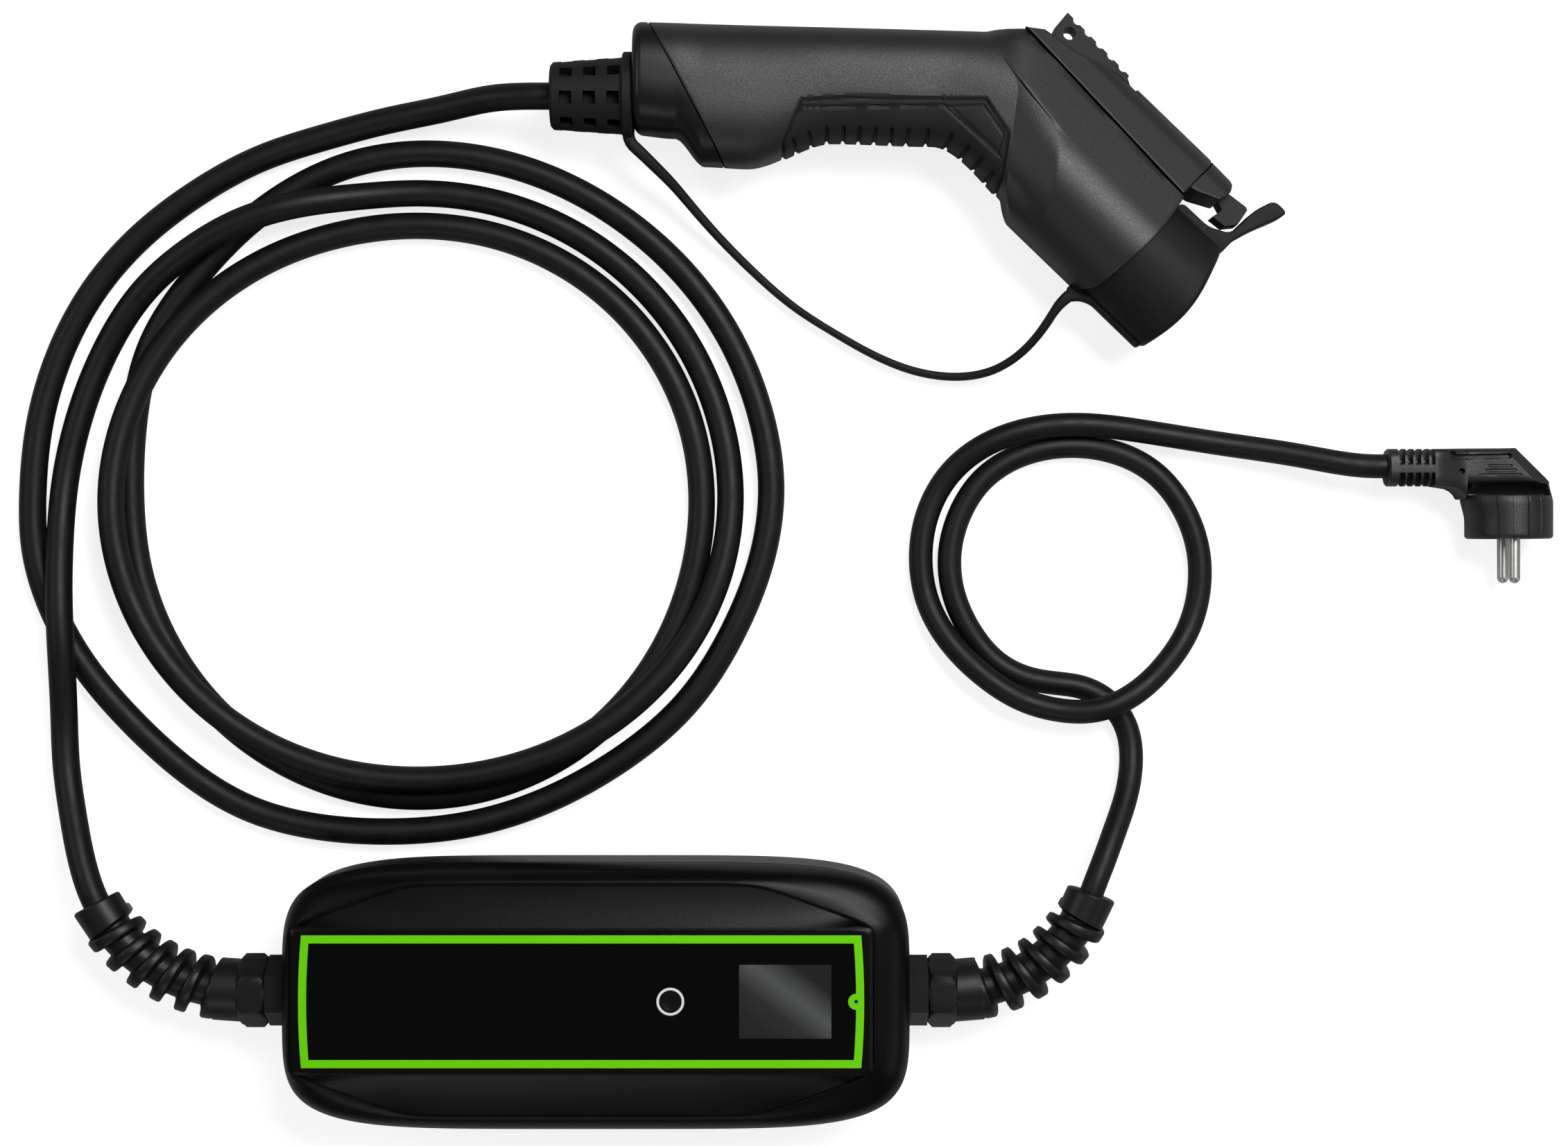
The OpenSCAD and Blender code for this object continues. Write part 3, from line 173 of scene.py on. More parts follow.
def smooth_route(points, spacing):
    """A natural cubic spline through the points by chord length: its second derivatives come from one linear
    system, so that the bend changes evenly. Sampled about every spacing."""
    p = np.asarray(points, float)
    step = np.linalg.norm(np.diff(p, axis=0), axis=1)
    at = np.concatenate([[0], np.cumsum(step)])
    slope = np.diff(p, axis=0) / step[:, None]
    inner = np.arange(1, len(p) - 1)
    system = np.eye(len(p))
    system[inner, inner - 1] = step[:-1]
    system[inner, inner] = 2 * (step[:-1] + step[1:])
    system[inner, inner + 1] = step[1:]
    right = np.zeros_like(p)
    right[1:-1] = 6 * np.diff(slope, axis=0)
    bend = np.linalg.solve(system, right)
    s = np.linspace(0, at[-1], int(at[-1] / spacing) + 1)
    i = np.clip(np.searchsorted(at, s, side="right") - 1, 0, len(p) - 2)
    a = ((at[i + 1] - s) / step[i])[:, None]
    b = 1 - a
    sixth = (step[i] ** 2 / 6)[:, None]
    return a * p[i] + b * p[i + 1] + sixth * ((a ** 3 - a) * bend[i] + (b ** 3 - b) * bend[i + 1])


def carried(route, wide, tall):
    """A section carried along the route: the level vector across it times wide plus the upward one times
    tall."""
    along = unit(np.gradient(route, axis=0))
    level = unit(np.cross(along, [0, 0, 1]))
    up = np.cross(level, along)
    return route[:, None] + wide[..., None] * level[:, None] + tall[..., None] * up[:, None]


def ring_faces(rows, columns, first):
    """Quads between neighbouring rings of a grid, the last column joined to the first."""
    i, j = np.meshgrid(np.arange(rows - 1), np.arange(columns), indexing="ij")
    k = (j + 1) % columns
    here = i * columns
    on = here + columns
    quads = np.stack([here + j, here + k, on + k, on + j], axis=-1)
    return (first + quads.reshape(-1, 4)).tolist()


def closed_skin(grid, first):
    """Points and faces of a grid of rings, with a flat face over its first and last ring."""
    rows, columns = grid.shape[:2]
    faces = ring_faces(rows, columns, first)
    faces.append([first + i for i in range(columns)])
    faces.append([first + (rows - 1) * columns + i for i in range(columns)])
    return grid.reshape(-1, 3), faces


def joined(*grids):
    """Points and faces of several closed skins in one mesh."""
    points = []
    faces = []
    count = 0
    for grid in grids:
        skin_points, skin_faces = closed_skin(grid, count)
        points.append(skin_points)
        faces.extend(skin_faces)
        count += len(skin_points)
    return np.concatenate(points), faces


def make_piece(name, slot, *grids, body=ROOT, crease=35):
    """A mesh object from closed grids in millimetres, in its slot's finish: faces turned outwards, smooth but
    for edges past the crease angle."""
    points, faces = joined(*grids)
    mesh = bpy.data.meshes.new(name)
    mesh.from_pydata((points * MM).tolist(), [], faces)
    shape = bmesh.new()
    shape.from_mesh(mesh)
    bmesh.ops.recalc_face_normals(shape, faces=shape.faces)
    shape.to_mesh(mesh)
    shape.free()
    mesh.polygons.foreach_set("use_smooth", np.ones(len(mesh.polygons), bool))
    mesh.set_sharp_from_angle(angle=math.radians(crease))
    mesh.validate()
    mesh.materials.append(FINISHES[slot])
    piece = bpy.data.objects.new(name, mesh)
    bpy.context.scene.collection.objects.link(piece)
    if body:
        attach(piece, body)
    return piece


# Finishes


FINISHES = {}


class Value:
    """A socket of a finish, so that shader maths reads as an expression: each operator adds a Math node."""

    def __init__(self, finish, socket):
        self.finish = finish
        self.socket = socket

    def joined(self, operation, first, second):
        """The Math node of that operation on two values."""
        return self.finish.node("ShaderNodeMath", {"operation": operation}, {0: first, 1: second})

    def __add__(self, other):
        return self.joined("ADD", self, other)

    def __radd__(self, other):
        return self.joined("ADD", other, self)

    def __sub__(self, other):
        return self.joined("SUBTRACT", self, other)

    def __rsub__(self, other):
        return self.joined("SUBTRACT", other, self)

    def __mul__(self, other):
        return self.joined("MULTIPLY", self, other)


class Finish:
    """A material under construction: its node tree, with the shader already joined to the output."""

    def __init__(self, name):
        self.material = bpy.data.materials.new(name)
        self.material.use_nodes = True
        self.tree = self.material.node_tree
        self.shader = self.tree.nodes["Principled BSDF"]

    def node(self, kind, settings=None, sockets=None, output=0):
        """A node of that type with its settings set first and then the values or links of its sockets."""
        made = self.tree.nodes.new(kind)
        for key, value in (settings or {}).items():
            if key == "stops":
                self.set_stops(made.color_ramp, value)
            else:
                setattr(made, key, value)
        for key, value in (sockets or {}).items():
            self.feed(made.inputs[key], value)
        return Value(self, made.outputs[output])

    def feed(self, socket, value):
        """Links a value to a socket, or sets the socket's own number or colour."""
        if isinstance(value, Value):
            self.tree.links.new(value.socket, socket)
        else:
            socket.default_value = value

    def set_stops(self, ramp, stops):
        """Places and grey levels of a colour ramp's stops."""
        while len(ramp.elements) < len(stops):
            ramp.elements.new(1.0)
        for element, (place, level) in zip(ramp.elements, stops):
            element.position = place
            element.color = (level, level, level, 1)

    def set(self, **values):
        """Sets or links sockets of the shader, named with underscores."""
        for key, value in values.items():
            self.feed(self.shader.inputs[key.replace("_", " ").title().replace("Ior", "IOR")], value)
        return self

    def place(self):
        """Object coordinates, in metres in the frame."""
        return self.node("ShaderNodeTexCoord", output=3)

    def noise(self, scale, detail, roughness=0.55):
        """Noise from 0 to 1 with that many cells to a metre."""
        sockets = {"Vector": self.place(), "Scale": scale, "Detail": detail, "Roughness": roughness}
        return self.node("ShaderNodeTexNoise", None, sockets)

    def levels(self, value, *stops):
        """A value through a grey ramp."""
        return self.node("ShaderNodeValToRGB", {"stops": stops}, {0: value})

    def between(self, share, first, second):
        """Mix of two colours by a share."""
        sockets = {0: share, 6: (*first, 1), 7: (*second, 1)}
        return self.node("ShaderNodeMix", {"data_type": "RGBA"}, sockets, 2)

    def shaded(self, share, shade, dark, light):
        """Mix of a darker and a lighter form of one colour by a share."""
        return self.between(share, scaled(shade, dark), scaled(shade, light))

    def bumped(self, height, depth):
        """Bump of that depth in millimetres, joined to the shader's normal. Gives the material."""
        self.set(normal=self.node("ShaderNodeBump", None, {"Height": height, "Distance": depth * MM}))
        return self.material


def scaled(shade, factor):
    """A colour made lighter or darker."""
    return tuple(min(1.0, part * factor) for part in shade)


def moulded(name, shade, rough=0.45, grain=1400, depth=0.06, spread=0.12, specular=0.5):
    """Moulded plastic: a fine spark-eroded grain, slow changes of tone and of gloss."""
    finish = Finish(name)
    slow = finish.noise(35, 2)
    fine = finish.noise(grain, 4, 0.6)
    finish.set(
        base_color=finish.shaded(slow * 0.6 + fine * 0.4, shade, 1 - spread, 1 + spread),
        roughness=rough - 0.06 + slow * 0.08 + fine * 0.04, specular_ior_level=specular)
    return finish.bumped(fine, depth)


def sparked(name, shade):
    """Coarse spark-eroded housing: bright and dark specks about half a millimetre across."""
    finish = Finish(name)
    specks = finish.noise(1700, 2, 0.7)
    slow = finish.noise(28, 2)
    glints = finish.levels(specks, (0.3, 0.0), (0.52, 0.35), (0.72, 1.0))
    finish.set(
        base_color=finish.shaded(glints * 0.75 + slow * 0.25, shade, 0.5, 1.9),
        roughness=0.5 - glints * 0.16)
    return finish.bumped(specks, 0.09)


def soft_rubber(name, shade, rough=0.62):
    """Soft rubber: matt, with a faint dusty bloom and fine pores."""
    finish = Finish(name)
    bloom = finish.levels(finish.noise(60, 4), (0.35, 0.0), (0.75, 1.0))
    pores = finish.noise(2200, 2)
    finish.set(
        base_color=finish.shaded(bloom * 0.5 + pores * 0.2, shade, 0.85, 1.35),
        roughness=rough + bloom * 0.1, specular_ior_level=0.28)
    return finish.bumped(pores, 0.04)


def cable_jacket(name, shade):
    """Extruded cable jacket: satin, with faint handling marks and a slow unevenness of the wall."""
    finish = Finish(name)
    marks = finish.levels(finish.noise(120, 5, 0.65), (0.45, 0.0), (0.8, 1.0))
    uneven = finish.noise(90, 2)
    fine = finish.noise(1800, 2)
    finish.set(
        base_color=finish.shaded(marks * 0.6 + fine * 0.2, shade, 0.9, 1.4),
        roughness=0.44 + marks * 0.14 + fine * 0.05, specular_ior_level=0.26)
    return finish.bumped(uneven * 0.8 + fine * 0.2, 0.12)


def gloss_panel(name, shade):
    """Gloss printed panel: nearly black, mirror smooth, with a trace of dust in the gloss."""
    finish = Finish(name)
    dust = finish.levels(finish.noise(900, 6, 0.7), (0.62, 0.0), (0.85, 1.0))
    return finish.set(
        base_color=finish.shaded(dust, shade, 1, 1.8), roughness=0.06 + dust * 0.12, coat_weight=0.3,
        specular_ior_level=0.3).material


def enamel(name, shade):
    """Accent line: even bright print with the slightest mottle."""
    finish = Finish(name)
    mottle = finish.noise(700, 2)
    return finish.set(
        base_color=finish.shaded(mottle, shade, 0.97, 1.02), roughness=0.38 + mottle * 0.08,
        specular_ior_level=0.25).material


def display_glass(name, middle):
    """Smoked display glass: a painted reflection, a pale diagonal band in the base colour, fades to black at
    both corners, from object coordinates.
    """
    finish = Finish(name)
    x, y = [finish.node("ShaderNodeSeparateXYZ", None, {0: finish.place()}, axis) for axis in (0, 1)]
    across = (x - middle[0]) * 20 + (y - middle[1]) * 26
    # painted reflection: a pale diagonal band of lighter base colour, where the glass would catch the light
    painted_sheen = finish.levels(across + 0.5, (0.0, 0.12), (0.32, 0.25), (0.62, 1.0), (0.95, 0.1))
    fine = finish.noise(1500, 2)
    return finish.set(
        base_color=finish.between(painted_sheen * 0.9 + fine * 0.1, tint(18, 18, 19), tint(86, 87, 88)),
        roughness=0.18 + fine * 0.08, specular_ior_level=0.3).material


def bright_metal(name, shade, rough):
    """Drawn or plated metal: fine marks in the gloss and a faint tarnish."""
    finish = Finish(name)
    tarnish = finish.noise(80, 3)
    fine = finish.noise(1800, 3)
    finish.set(
        base_color=finish.shaded(tarnish, shade, 0.9, 1.05), metallic=1.0, roughness=rough + fine * 0.1)
    return finish.bumped(fine, 0.01)


def circuit_board(name):
    """Lacquered circuit board with a fine copper pattern under the lacquer."""
    finish = Finish(name)
    cells = finish.node("ShaderNodeTexBrick", {"offset": 0.3},
                        {"Vector": finish.place(), "Scale": 160.0, "Mortar Size": 0.04}, 1)
    slow = finish.noise(40, 2)
    return finish.set(
        base_color=finish.between(cells * 0.5 + slow * 0.2, tint(22, 84, 48), tint(70, 128, 74)),
        roughness=0.3 + slow * 0.1).material


def build_finishes(scene):
    """Every finish of the charger, by the record's slot."""
    box = scene.charger_box
    cable = scene.charger_cables
    hand = scene.charger_connector
    low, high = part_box("display_window")
    middle = [(a + b) / 2 for a, b in zip(low, high)]
    return {
        "box_plastic": moulded("box plastic", box.shell, 0.36, 1300, 0.04, 0.12, 0.16),
        "panel_gloss": gloss_panel("panel gloss", box.panel),
        "accent_green": enamel("accent line", box.accent),
        "display_glass": display_glass("display glass", middle),
        "ring_metal": moulded("ring plating", tint(236, 237, 238), 0.3, 900, 0.01, 0.03),
        "button_black": moulded("button", tint(10, 10, 11), 0.25, 900, 0.01),
        "display_grey": moulded("display module", tint(125, 138, 134), 0.4),
        "board_green": circuit_board("circuit board"),
        "component_black": moulded("component case", tint(28, 28, 31), 0.5),
        "sensor_blue": moulded("sensor case", tint(46, 63, 87), 0.45),
        "capacitor_sleeve": moulded("capacitor sleeve", tint(57, 66, 79), 0.35),
        "terminal_green": moulded("terminal block", tint(61, 107, 74), 0.45),
        "fastener_steel": bright_metal("fastener steel", tint(180, 182, 184), 0.3),
        "gland_black": moulded("gland plastic", cable.gland, 0.42, 1500, 0.05, 0.12, 0.36),
        "seal_rubber": soft_rubber("seal rubber", tint(20, 20, 21)),
        "cable_jacket": cable_jacket("cable jacket", cable.jacket),
        "handle_charcoal": sparked("housing", hand.housing),
        "end_cap_black": moulded("rear cap", hand.rear, 0.38, 1600, 0.03, 0.12, 0.32),
        "grip_rubber": soft_rubber("grip rubber", hand.grip, 0.55),
        "latch_black": moulded("latch", tint(20, 20, 21), 0.5, 1400, 0.06, 0.12, 0.2),
        "spring_steel": bright_metal("spring steel", tint(170, 172, 175), 0.3),
        "nose_black": moulded("nose insert", tint(26, 26, 28), 0.4),
        "contact_brass": bright_metal("contact", tint(206, 182, 126), 0.25),
        "cap_rubber": soft_rubber("cap rubber", hand.dust_cap),
        "plug_black": sparked("plug", hand.plug),
        "pin_nickel": bright_metal("pin nickel", hand.metal, 0.3),
    }


def dress_nodes():
    """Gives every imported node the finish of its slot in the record."""
    slots = {part["node"]: part["material_slot"] for part in frame["record"]["subparts"]}
    for name, node in frame["nodes"].items():
        node.data.materials.clear()
        node.data.materials.append(FINISHES[slots[name]])


# Cables


CHARGE_LEAD_IN = [
    (-16, 378, 28.5), (-22, 378, 28.5), (-44, 378, 24), (-67, 375, 14.5), (-92, 371, 8), (-120, 364, 6),
    (-147, 355, 6), (-173, 341, 6), (-198, 322, 6), (-219, 298, 6), (-234.6, 268, 6), (-242.4, 240, 6),
    (-245.2, 212, 6), (-244.2, 186, 6), (-237.6, 163, 6), (-224, 138, 6), (-204, 114, 6), (-180, 92, 6),
    (-152, 75, 6), (-122, 67, 6), (-91, 65, 6), (-58, 68, 6), (-25, 78, 6), (8, 96, 6), (37, 121, 6),
    (57, 152, 6), (69, 183, 6), (73, 213, 6), (68, 246, 6), (55, 278, 6), (34, 307, 6), (6, 331, 6),
    (-24, 347, 6), (-52, 355, 6), (-79, 357, 6), (-106, 353, 6), (-130, 343, 6), (-154, 326, 6),
    (-175, 304, 6),
]
CHARGE_LEAD_OUT = [
    (-79, 340, 6), (-104, 338, 10), (-128, 334, 16.5), (-152, 327, 18), (-176, 314, 15.5), (-198, 296, 9),
    (-214, 272, 6), (-225, 244, 6), (-231, 216, 7), (-232, 190, 12), (-231, 164, 17.5), (-230, 140, 17.5),
    (-230, 116, 13), (-229, 94, 13), (-225, 74, 18), (-219, 53, 25), (-212.5, 37, 28), (-210.6, 33.4, 28),
]
MAINS_ROUTE = [
    (207.3, 37.2, 28), (208.6, 41, 28), (213.5, 53, 26), (219.5, 67, 20), (225.5, 82, 12), (228, 96, 7),
    (227, 107, 5.5), (222.5, 116.5, 5.5), (215, 123.5, 5.5), (205.5, 127.5, 5.5), (195, 129, 5.5),
    (184, 131, 5.5), (171.5, 137, 5.5), (159, 151, 5.5), (151, 170, 5.5), (150, 185, 5.5), (154, 201, 5.5),
    (164, 216.5, 5.5), (179, 226.5, 5.5), (199, 231, 5.5), (219, 229, 5.5), (237, 220.5, 5.5),
    (250.5, 204.5, 5.5), (257.5, 183, 5.5), (257.5, 170, 5.5), (253, 153, 6.5), (243, 138, 11),
    (228.5, 125, 16), (213, 118, 16.5), (198, 117.5, 14.5), (181, 122, 13.5), (163.5, 133, 13),
    (149, 148, 10), (140, 165.5, 6), (137.5, 181, 5.5), (140, 200.5, 5.5), (149, 218, 6.5),
    (163.5, 230.5, 10), (183.5, 238, 11.5), (206, 240, 11.5), (231, 237.5, 10), (266, 232, 9.5),
    (300, 226.5, 14), (328, 222, 18.6), (338, 222, 18.6),
]
COIL_CENTRE = np.array([-79, 208])
COIL_RADII = [(135, 136), (180, 124), (270, 128), (360, 122), (450, 118), (540, 130), (630, 120),
              (720, 134.5), (810, 132)]
COIL_REST = 6
COIL_ANGLES = np.arange(150, 800, 15)
FULL_TURN = 360


def coil_turns(diameter):
    """The coil's points from its inner end to its outer: the radius eases between its keys by angle, and the
    upper turn rests on the lower one, as high as two touching circles need at their distance apart."""
    radius = eased(COIL_ANGLES, COIL_RADII)
    first = COIL_RADII[0][0]
    below = COIL_ANGLES - FULL_TURN
    under = eased(np.maximum(below, first), COIL_RADII)
    apart = np.where(below >= first, np.abs(radius - under), diameter)
    lift = np.sqrt(np.maximum(0, diameter ** 2 - apart ** 2))
    level = np.convolve(np.pad(lift, 2, mode="edge"), np.ones(5) / 5, "valid")
    turn = np.radians(COIL_ANGLES)
    across = COIL_CENTRE + radius[:, None] * np.stack([np.cos(turn), np.sin(turn)], axis=1)
    return np.column_stack([across, COIL_REST + level])


class CHARGER_OT_cables(bpy.types.Operator):
    """Lays the charging cable and the mains cable along their routes"""
    bl_idname = "charger.cables"
    bl_label = "Cables"

    def execute(self, context):
        sizes = context.scene.charger_cables
        whole = np.concatenate([CHARGE_LEAD_IN, coil_turns(sizes.charge / MM), CHARGE_LEAD_OUT])
        self.lay(
            "charging_cable", smooth_route(whole[::-1], 3), sizes.charge, "object",
            ("charge_cable_coil", "charge_cable_lead_in", "charge_cable_lead_out"))
        self.lay(
            "mains_lead", smooth_route(MAINS_ROUTE, 2.5), sizes.mains, "plug", ("mains_cable",),
            [bpy.data.objects["plug"], frame["nodes"]["plug_pins"], frame["nodes"]["plug_earth_clips"]])
        return {"FINISHED"}

    def lay(self, name, route, diameter, far_end, nodes, pieces=()):
        """A tube along the route, in place of those nodes."""
        radius = diameter / MM / 2
        route[:, 2] = np.maximum(route[:, 2], radius)
        turn = round_turn(24)[None]
        skin = carried(route, radius * np.cos(turn), radius * np.sin(turn))
        piece = make_piece(name, "cable_jacket", skin)
        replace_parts(piece, *nodes)
        route[0] * MM
        (route * MM).tolist()


# Control box


class CHARGER_OT_box(bpy.types.Operator):
    """Builds the control box's base and cover as smooth shells"""
    bl_idname = "charger.box"
    bl_label = "Control box"

    sides = 720
    crowding = 2 / 3
    deck_x = -5
    deck_flat = 146
    deck_end = 62
    deck_drop = 2.8
    corner_power = 40
    panel_depth = 1.6
    frame_length = 233.3
    frame_width = 54.9
    frame_bow = 1.2

    def execute(self, context):
        self.sizes = context.scene.charger_box
        phi = self.directions()
        self.c = np.cos(phi)
        self.s = np.sin(phi)
        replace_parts(make_piece("box_shell_base", "box_plastic", self.base()), "box_base")
        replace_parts(make_piece("box_shell_cover", "box_plastic", self.cover(), crease=25), "box_cover")
        return {"FINISHED"}

    def directions(self):
        """Directions round the box, close together where its outline turns."""
        turn = round_turn(self.sides)
        x = bowed(np.cos(turn), self.crowding)
        y = bowed(np.sin(turn), self.crowding)
        return np.arctan2(self.sizes.width * y, self.sizes.length * x)

    def halves(self, length, width, inset):
        """Half of a length and of a width in millimetres, drawn in by an inset."""
        return length / MM / 2 - inset, width / MM / 2 - inset

    def norm(self, parts, power):
        """Reach of an outline in each direction: parts are shares of it, joined by a power mean."""
        return np.sum(np.abs(np.stack(parts)) ** power, axis=0) ** (-1 / power)

    def ring(self, reach, z, centre=0.0):
        """A ring of points at the reach in each direction from a centre on the length axis."""
        return np.column_stack([centre + reach * self.c, reach * self.s, np.full_like(reach, z)])

    def outline(self, inset, z):
        """The box's outline, a superellipse, drawn in by an inset."""
        half_l, half_w = self.halves(self.sizes.length, self.sizes.width, inset)
        return self.ring(self.norm([self.c / half_l, self.s / half_w], self.sizes.squareness), z)

    def octagon(self, inset, z):
        """The deck's crease, an octagon with soft corners."""
        half_l, half_w = self.halves(self.sizes.deck_length, self.sizes.deck_width, inset)
        slant = math.atan2(half_w + inset - self.deck_end / 2, half_l + inset - self.deck_flat / 2)
        normal = np.array([math.sin(slant), math.cos(slant)])
        reach = normal @ [self.deck_flat / 2, half_w + inset] - inset
        slanted = (np.abs(self.c) * normal[0] + np.abs(self.s) * normal[1]) / reach
        reach = self.norm([self.c / half_l, self.s / half_w, slanted], self.corner_power)
        return self.ring(reach, z, self.deck_x)

    def band(self, inset, z):
        """The raised band, a rectangle with small round corners."""
        half_l, half_w = self.halves(self.sizes.band_length, self.sizes.band_width, inset)
        return self.ring(self.norm([self.c / half_l, self.s / half_w], self.corner_power), z, self.deck_x)

    def recess(self, z):
        """The panel's recess: straight long sides and ends bowed on a circle, the nearer of the two."""
        half_l = self.frame_length / 2
        half_w = self.frame_width / 2
        bow = (half_w ** 2 + self.frame_bow ** 2) / (2 * self.frame_bow)
        centre = half_l - bow
        along = np.abs(self.c) * centre
        ends = along + np.sqrt(along ** 2 + bow ** 2 - centre ** 2)
        sides = half_w / np.maximum(np.abs(self.s), 1e-6)
        return self.ring(np.minimum(ends, sides), z, self.deck_x)

    def base(self):
        """Rings from the underside up to the parting line."""
        rim = (self.sizes.parting - self.sizes.seal / 2) / MM
        steps = [(7, 0), (6.2, 0.15), (4, 1.4), (2.6, 2.7), (1.6, 4.2), (0.8, 6.4), (0.3, 9), (0, 13),
                 (0, rim - 0.5), (0.4, rim)]
        return np.stack([self.outline(inset, z) for inset, z in steps])

    def cover(self):
        """Rings from the parting line over the crease and the deck to the band, and down into the recess."""
        top = self.sizes.height / MM
        rim = (self.sizes.parting + self.sizes.seal / 2) / MM
        crease = top - self.deck_drop
        mixes = [(0, 0.4, rim + 4), (0.08, 1.2, rim + 8), (0.22, 1.0, rim + 10), (0.4, 0.8, crease - 3.4),
                 (0.62, 0.5, crease - 2), (0.8, 0.2, crease - 1.2), (0.95, 0.1, crease - 0.8),
                 (1, 0, crease - 0.7)]
        bead = [(0.15, 0.05), (0.4, 0.3), (0.9, 0.3), (1.15, 0.1), (1.3, -0.2)]
        edge = [(-1.3, -0.7), (-0.5, -0.25), (0, 0), (0.6, 0)]
        rings = [self.outline(0.4, rim), self.outline(0, rim + 0.5)]
        for mix, inset, z in mixes:
            rings.append(self.outline(inset, z) * (1 - mix) + self.octagon(inset, z) * mix)
        rings += [self.octagon(inset, crease + rise) for inset, rise in bead]
        rings += [self.band(inset, top + rise) for inset, rise in edge]
        rings += [self.recess(top), self.recess(top - self.panel_depth)]
        return np.stack(rings)


# Glands


class CHARGER_OT_glands(bpy.types.Operator):
    """Builds the gland nuts with their bent finned reliefs"""
    bl_idname = "charger.glands"
    bl_label = "Glands"

    axis_z = 28
    nut_x = 139
    nut_length = 12
    nut_flats = 27.2
    root_d = 26.4
    end_d = 24
    core_d = 16
    collar_d = 20.6
    length = 75.5
    plain = 10.5
    collar = 12
    pitch = 9.8
    fin = 5
    sides = 96

    def execute(self, context):
        self.make("charge_relief", -1, 62, "charge_gland_nut")
        self.make("mains_relief", 1, 71, "mains_gland_nut")
        return {"FINISHED"}

    def bent(self, s, radius, phi, bend):
        """The point at length s along an axis bent on a circle, at a radius and a direction round it."""
        bow = self.length / math.radians(bend)
        a = s / bow
        out = radius * np.cos(phi)
        x = self.nut_x + self.nut_length + bow * np.sin(a) - out * np.sin(a)
        y = bow * (1 - np.cos(a)) + out * np.cos(a)
        return np.stack(np.broadcast_arrays(x, y, radius * np.sin(phi)), axis=-1)

    def hexagon(self):
        """The nut's hexagon by direction, with its corners turned off on a cone at both ends."""
        phi = round_turn(self.sides)
        flat = self.nut_flats / 2
        reach = flat / np.cos((phi % (TAU / 6)) - TAU / 12)
        x = np.array([0.15, 0.9, 2.2, 9.8, 11.1, 12])
        limit = np.array([flat - 0.3, flat + 0.7, 20, 20, flat + 0.7, flat - 0.3])
        radius = np.minimum(reach[None], limit[:, None])
        x = self.nut_x + x[:, None]
        return np.stack(np.broadcast_arrays(x, radius * np.cos(phi), radius * np.sin(phi)), axis=-1)

    def body(self, bend):
        """Round body along the bent axis: plain part, core with hollow roots, and the end collar."""
        root = self.root_d / 2
        core = self.core_d / 2
        collar = self.collar_d / 2
        end = self.length - self.collar
        steps = [
            (-0.5, root - 0.4), (0.2, root), (self.plain - 0.6, root), (self.plain, root - 0.5),
            (self.plain + 0.4, core + 1.4), (self.plain + 1.2, core + 0.3), (self.plain + 2, core)]
        steps += [(s, core) for s in np.linspace(self.plain + 3, end - 2, 40)]
        steps += [
            (end - 0.8, core + 0.2), (end - 0.2, core + 0.8), (end, collar - 0.5), (end + 0.5, collar),
            (self.length - 1, collar + 0.2), (self.length - 0.3, collar - 0.2), (self.length, collar - 1)]
        s, radius = np.array(steps).T
        phi = round_turn(self.sides)
        return self.bent(s[:, None], radius[:, None], phi[None], bend)

    def helix(self, bend):
        """The fin's profile, a trapezium with soft edges and hollow roots, carried along a helix on the bent
        axis."""
        start = self.plain - self.fin / 2
        stop = self.length - self.collar + self.fin / 2
        count = int((stop - start) / self.pitch * 72)
        share = np.linspace(0, 1, count)
        s = start + (stop - start) * share
        phi = TAU * (stop - start) * share / self.pitch
        root = self.core_d / 2
        tip = (self.root_d + (self.end_d - self.root_d) * share) / 2
        flank = np.array([0.68, 0.56, 0.5, 0.46, 0.38, 0.28])
        climb = np.array([-0.1, 0.08, 0.3, 0.8, 0.95, 1.0])
        across = np.concatenate([-flank, flank[::-1]]) * self.fin
        rise = np.concatenate([climb, climb[::-1]])
        radius = root + (tip - root)[:, None] * rise[None]
        return self.bent(s[:, None] + across[None], radius, phi[:, None], bend)

    def make(self, name, side, bend, node):
        """Nut, round body and fin in one mesh, set at the gland's height and turned to its side."""
        grids = [grid * [side, 1, 1] + [0, 0, self.axis_z]
                 for grid in (self.hexagon(), self.body(bend), self.helix(bend))]
        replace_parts(make_piece(name, "gland_black", *grids, crease=28), node)


# Connector: the handle's frame has x from its rear and y to the latch side,
# the nose's frame has t along the nose and n to the latch side


HANDLE = np.array([15, 378, 28.5])
NOSE = np.array([210.4, -65.5])
NOSE_TURN = math.radians(-44)
AXIS = np.array([math.cos(NOSE_TURN), math.sin(NOSE_TURN)])
LIFT = np.array([-AXIS[1], AXIS[0]])
UNDERSIDE = [(0, -16), (17, -17.5), (30, -29.6), (48, -30.5), (84, -19.2), (126, -20.4), (178, -60)]
HALF_WIDTH = [(0, 21.5), (84, 20), (126, 20), (178, 23.5)]
BARREL = 28.5
CROWN = 14
CROWN_N = 36.6
CROWN_SIDE = math.acos((BARREL - CROWN) / CROWN_N)
GROOVE = [(-97, 33.5), (2, 28.2)]
GRIP = [(62, -40), (63.4, -22), (70.8, -4.8), (90, -3.6), (147.4, -4.6), (156.8, -19.4), (154.4, -36),
        (150, -52)]
RIM_FRONT = 2.6
RIM_BOW = 109
RIM_MIDDLE = 4.8
RIM_CORNER = 9
RIM_CORNER_T = -8.35
RIM_LOW = -19.5
RIM_HIGH = -12.3


def in_nose(t, n, z):
    """Points of the nose's frame in the part's frame."""
    return nose_in_handle(t, n, z) + HANDLE


def nose_in_handle(t, n, z):
    """Points of the nose's frame in the handle's frame."""
    return np.stack(np.broadcast_arrays(*nose_to_handle(t, n), z), axis=-1)


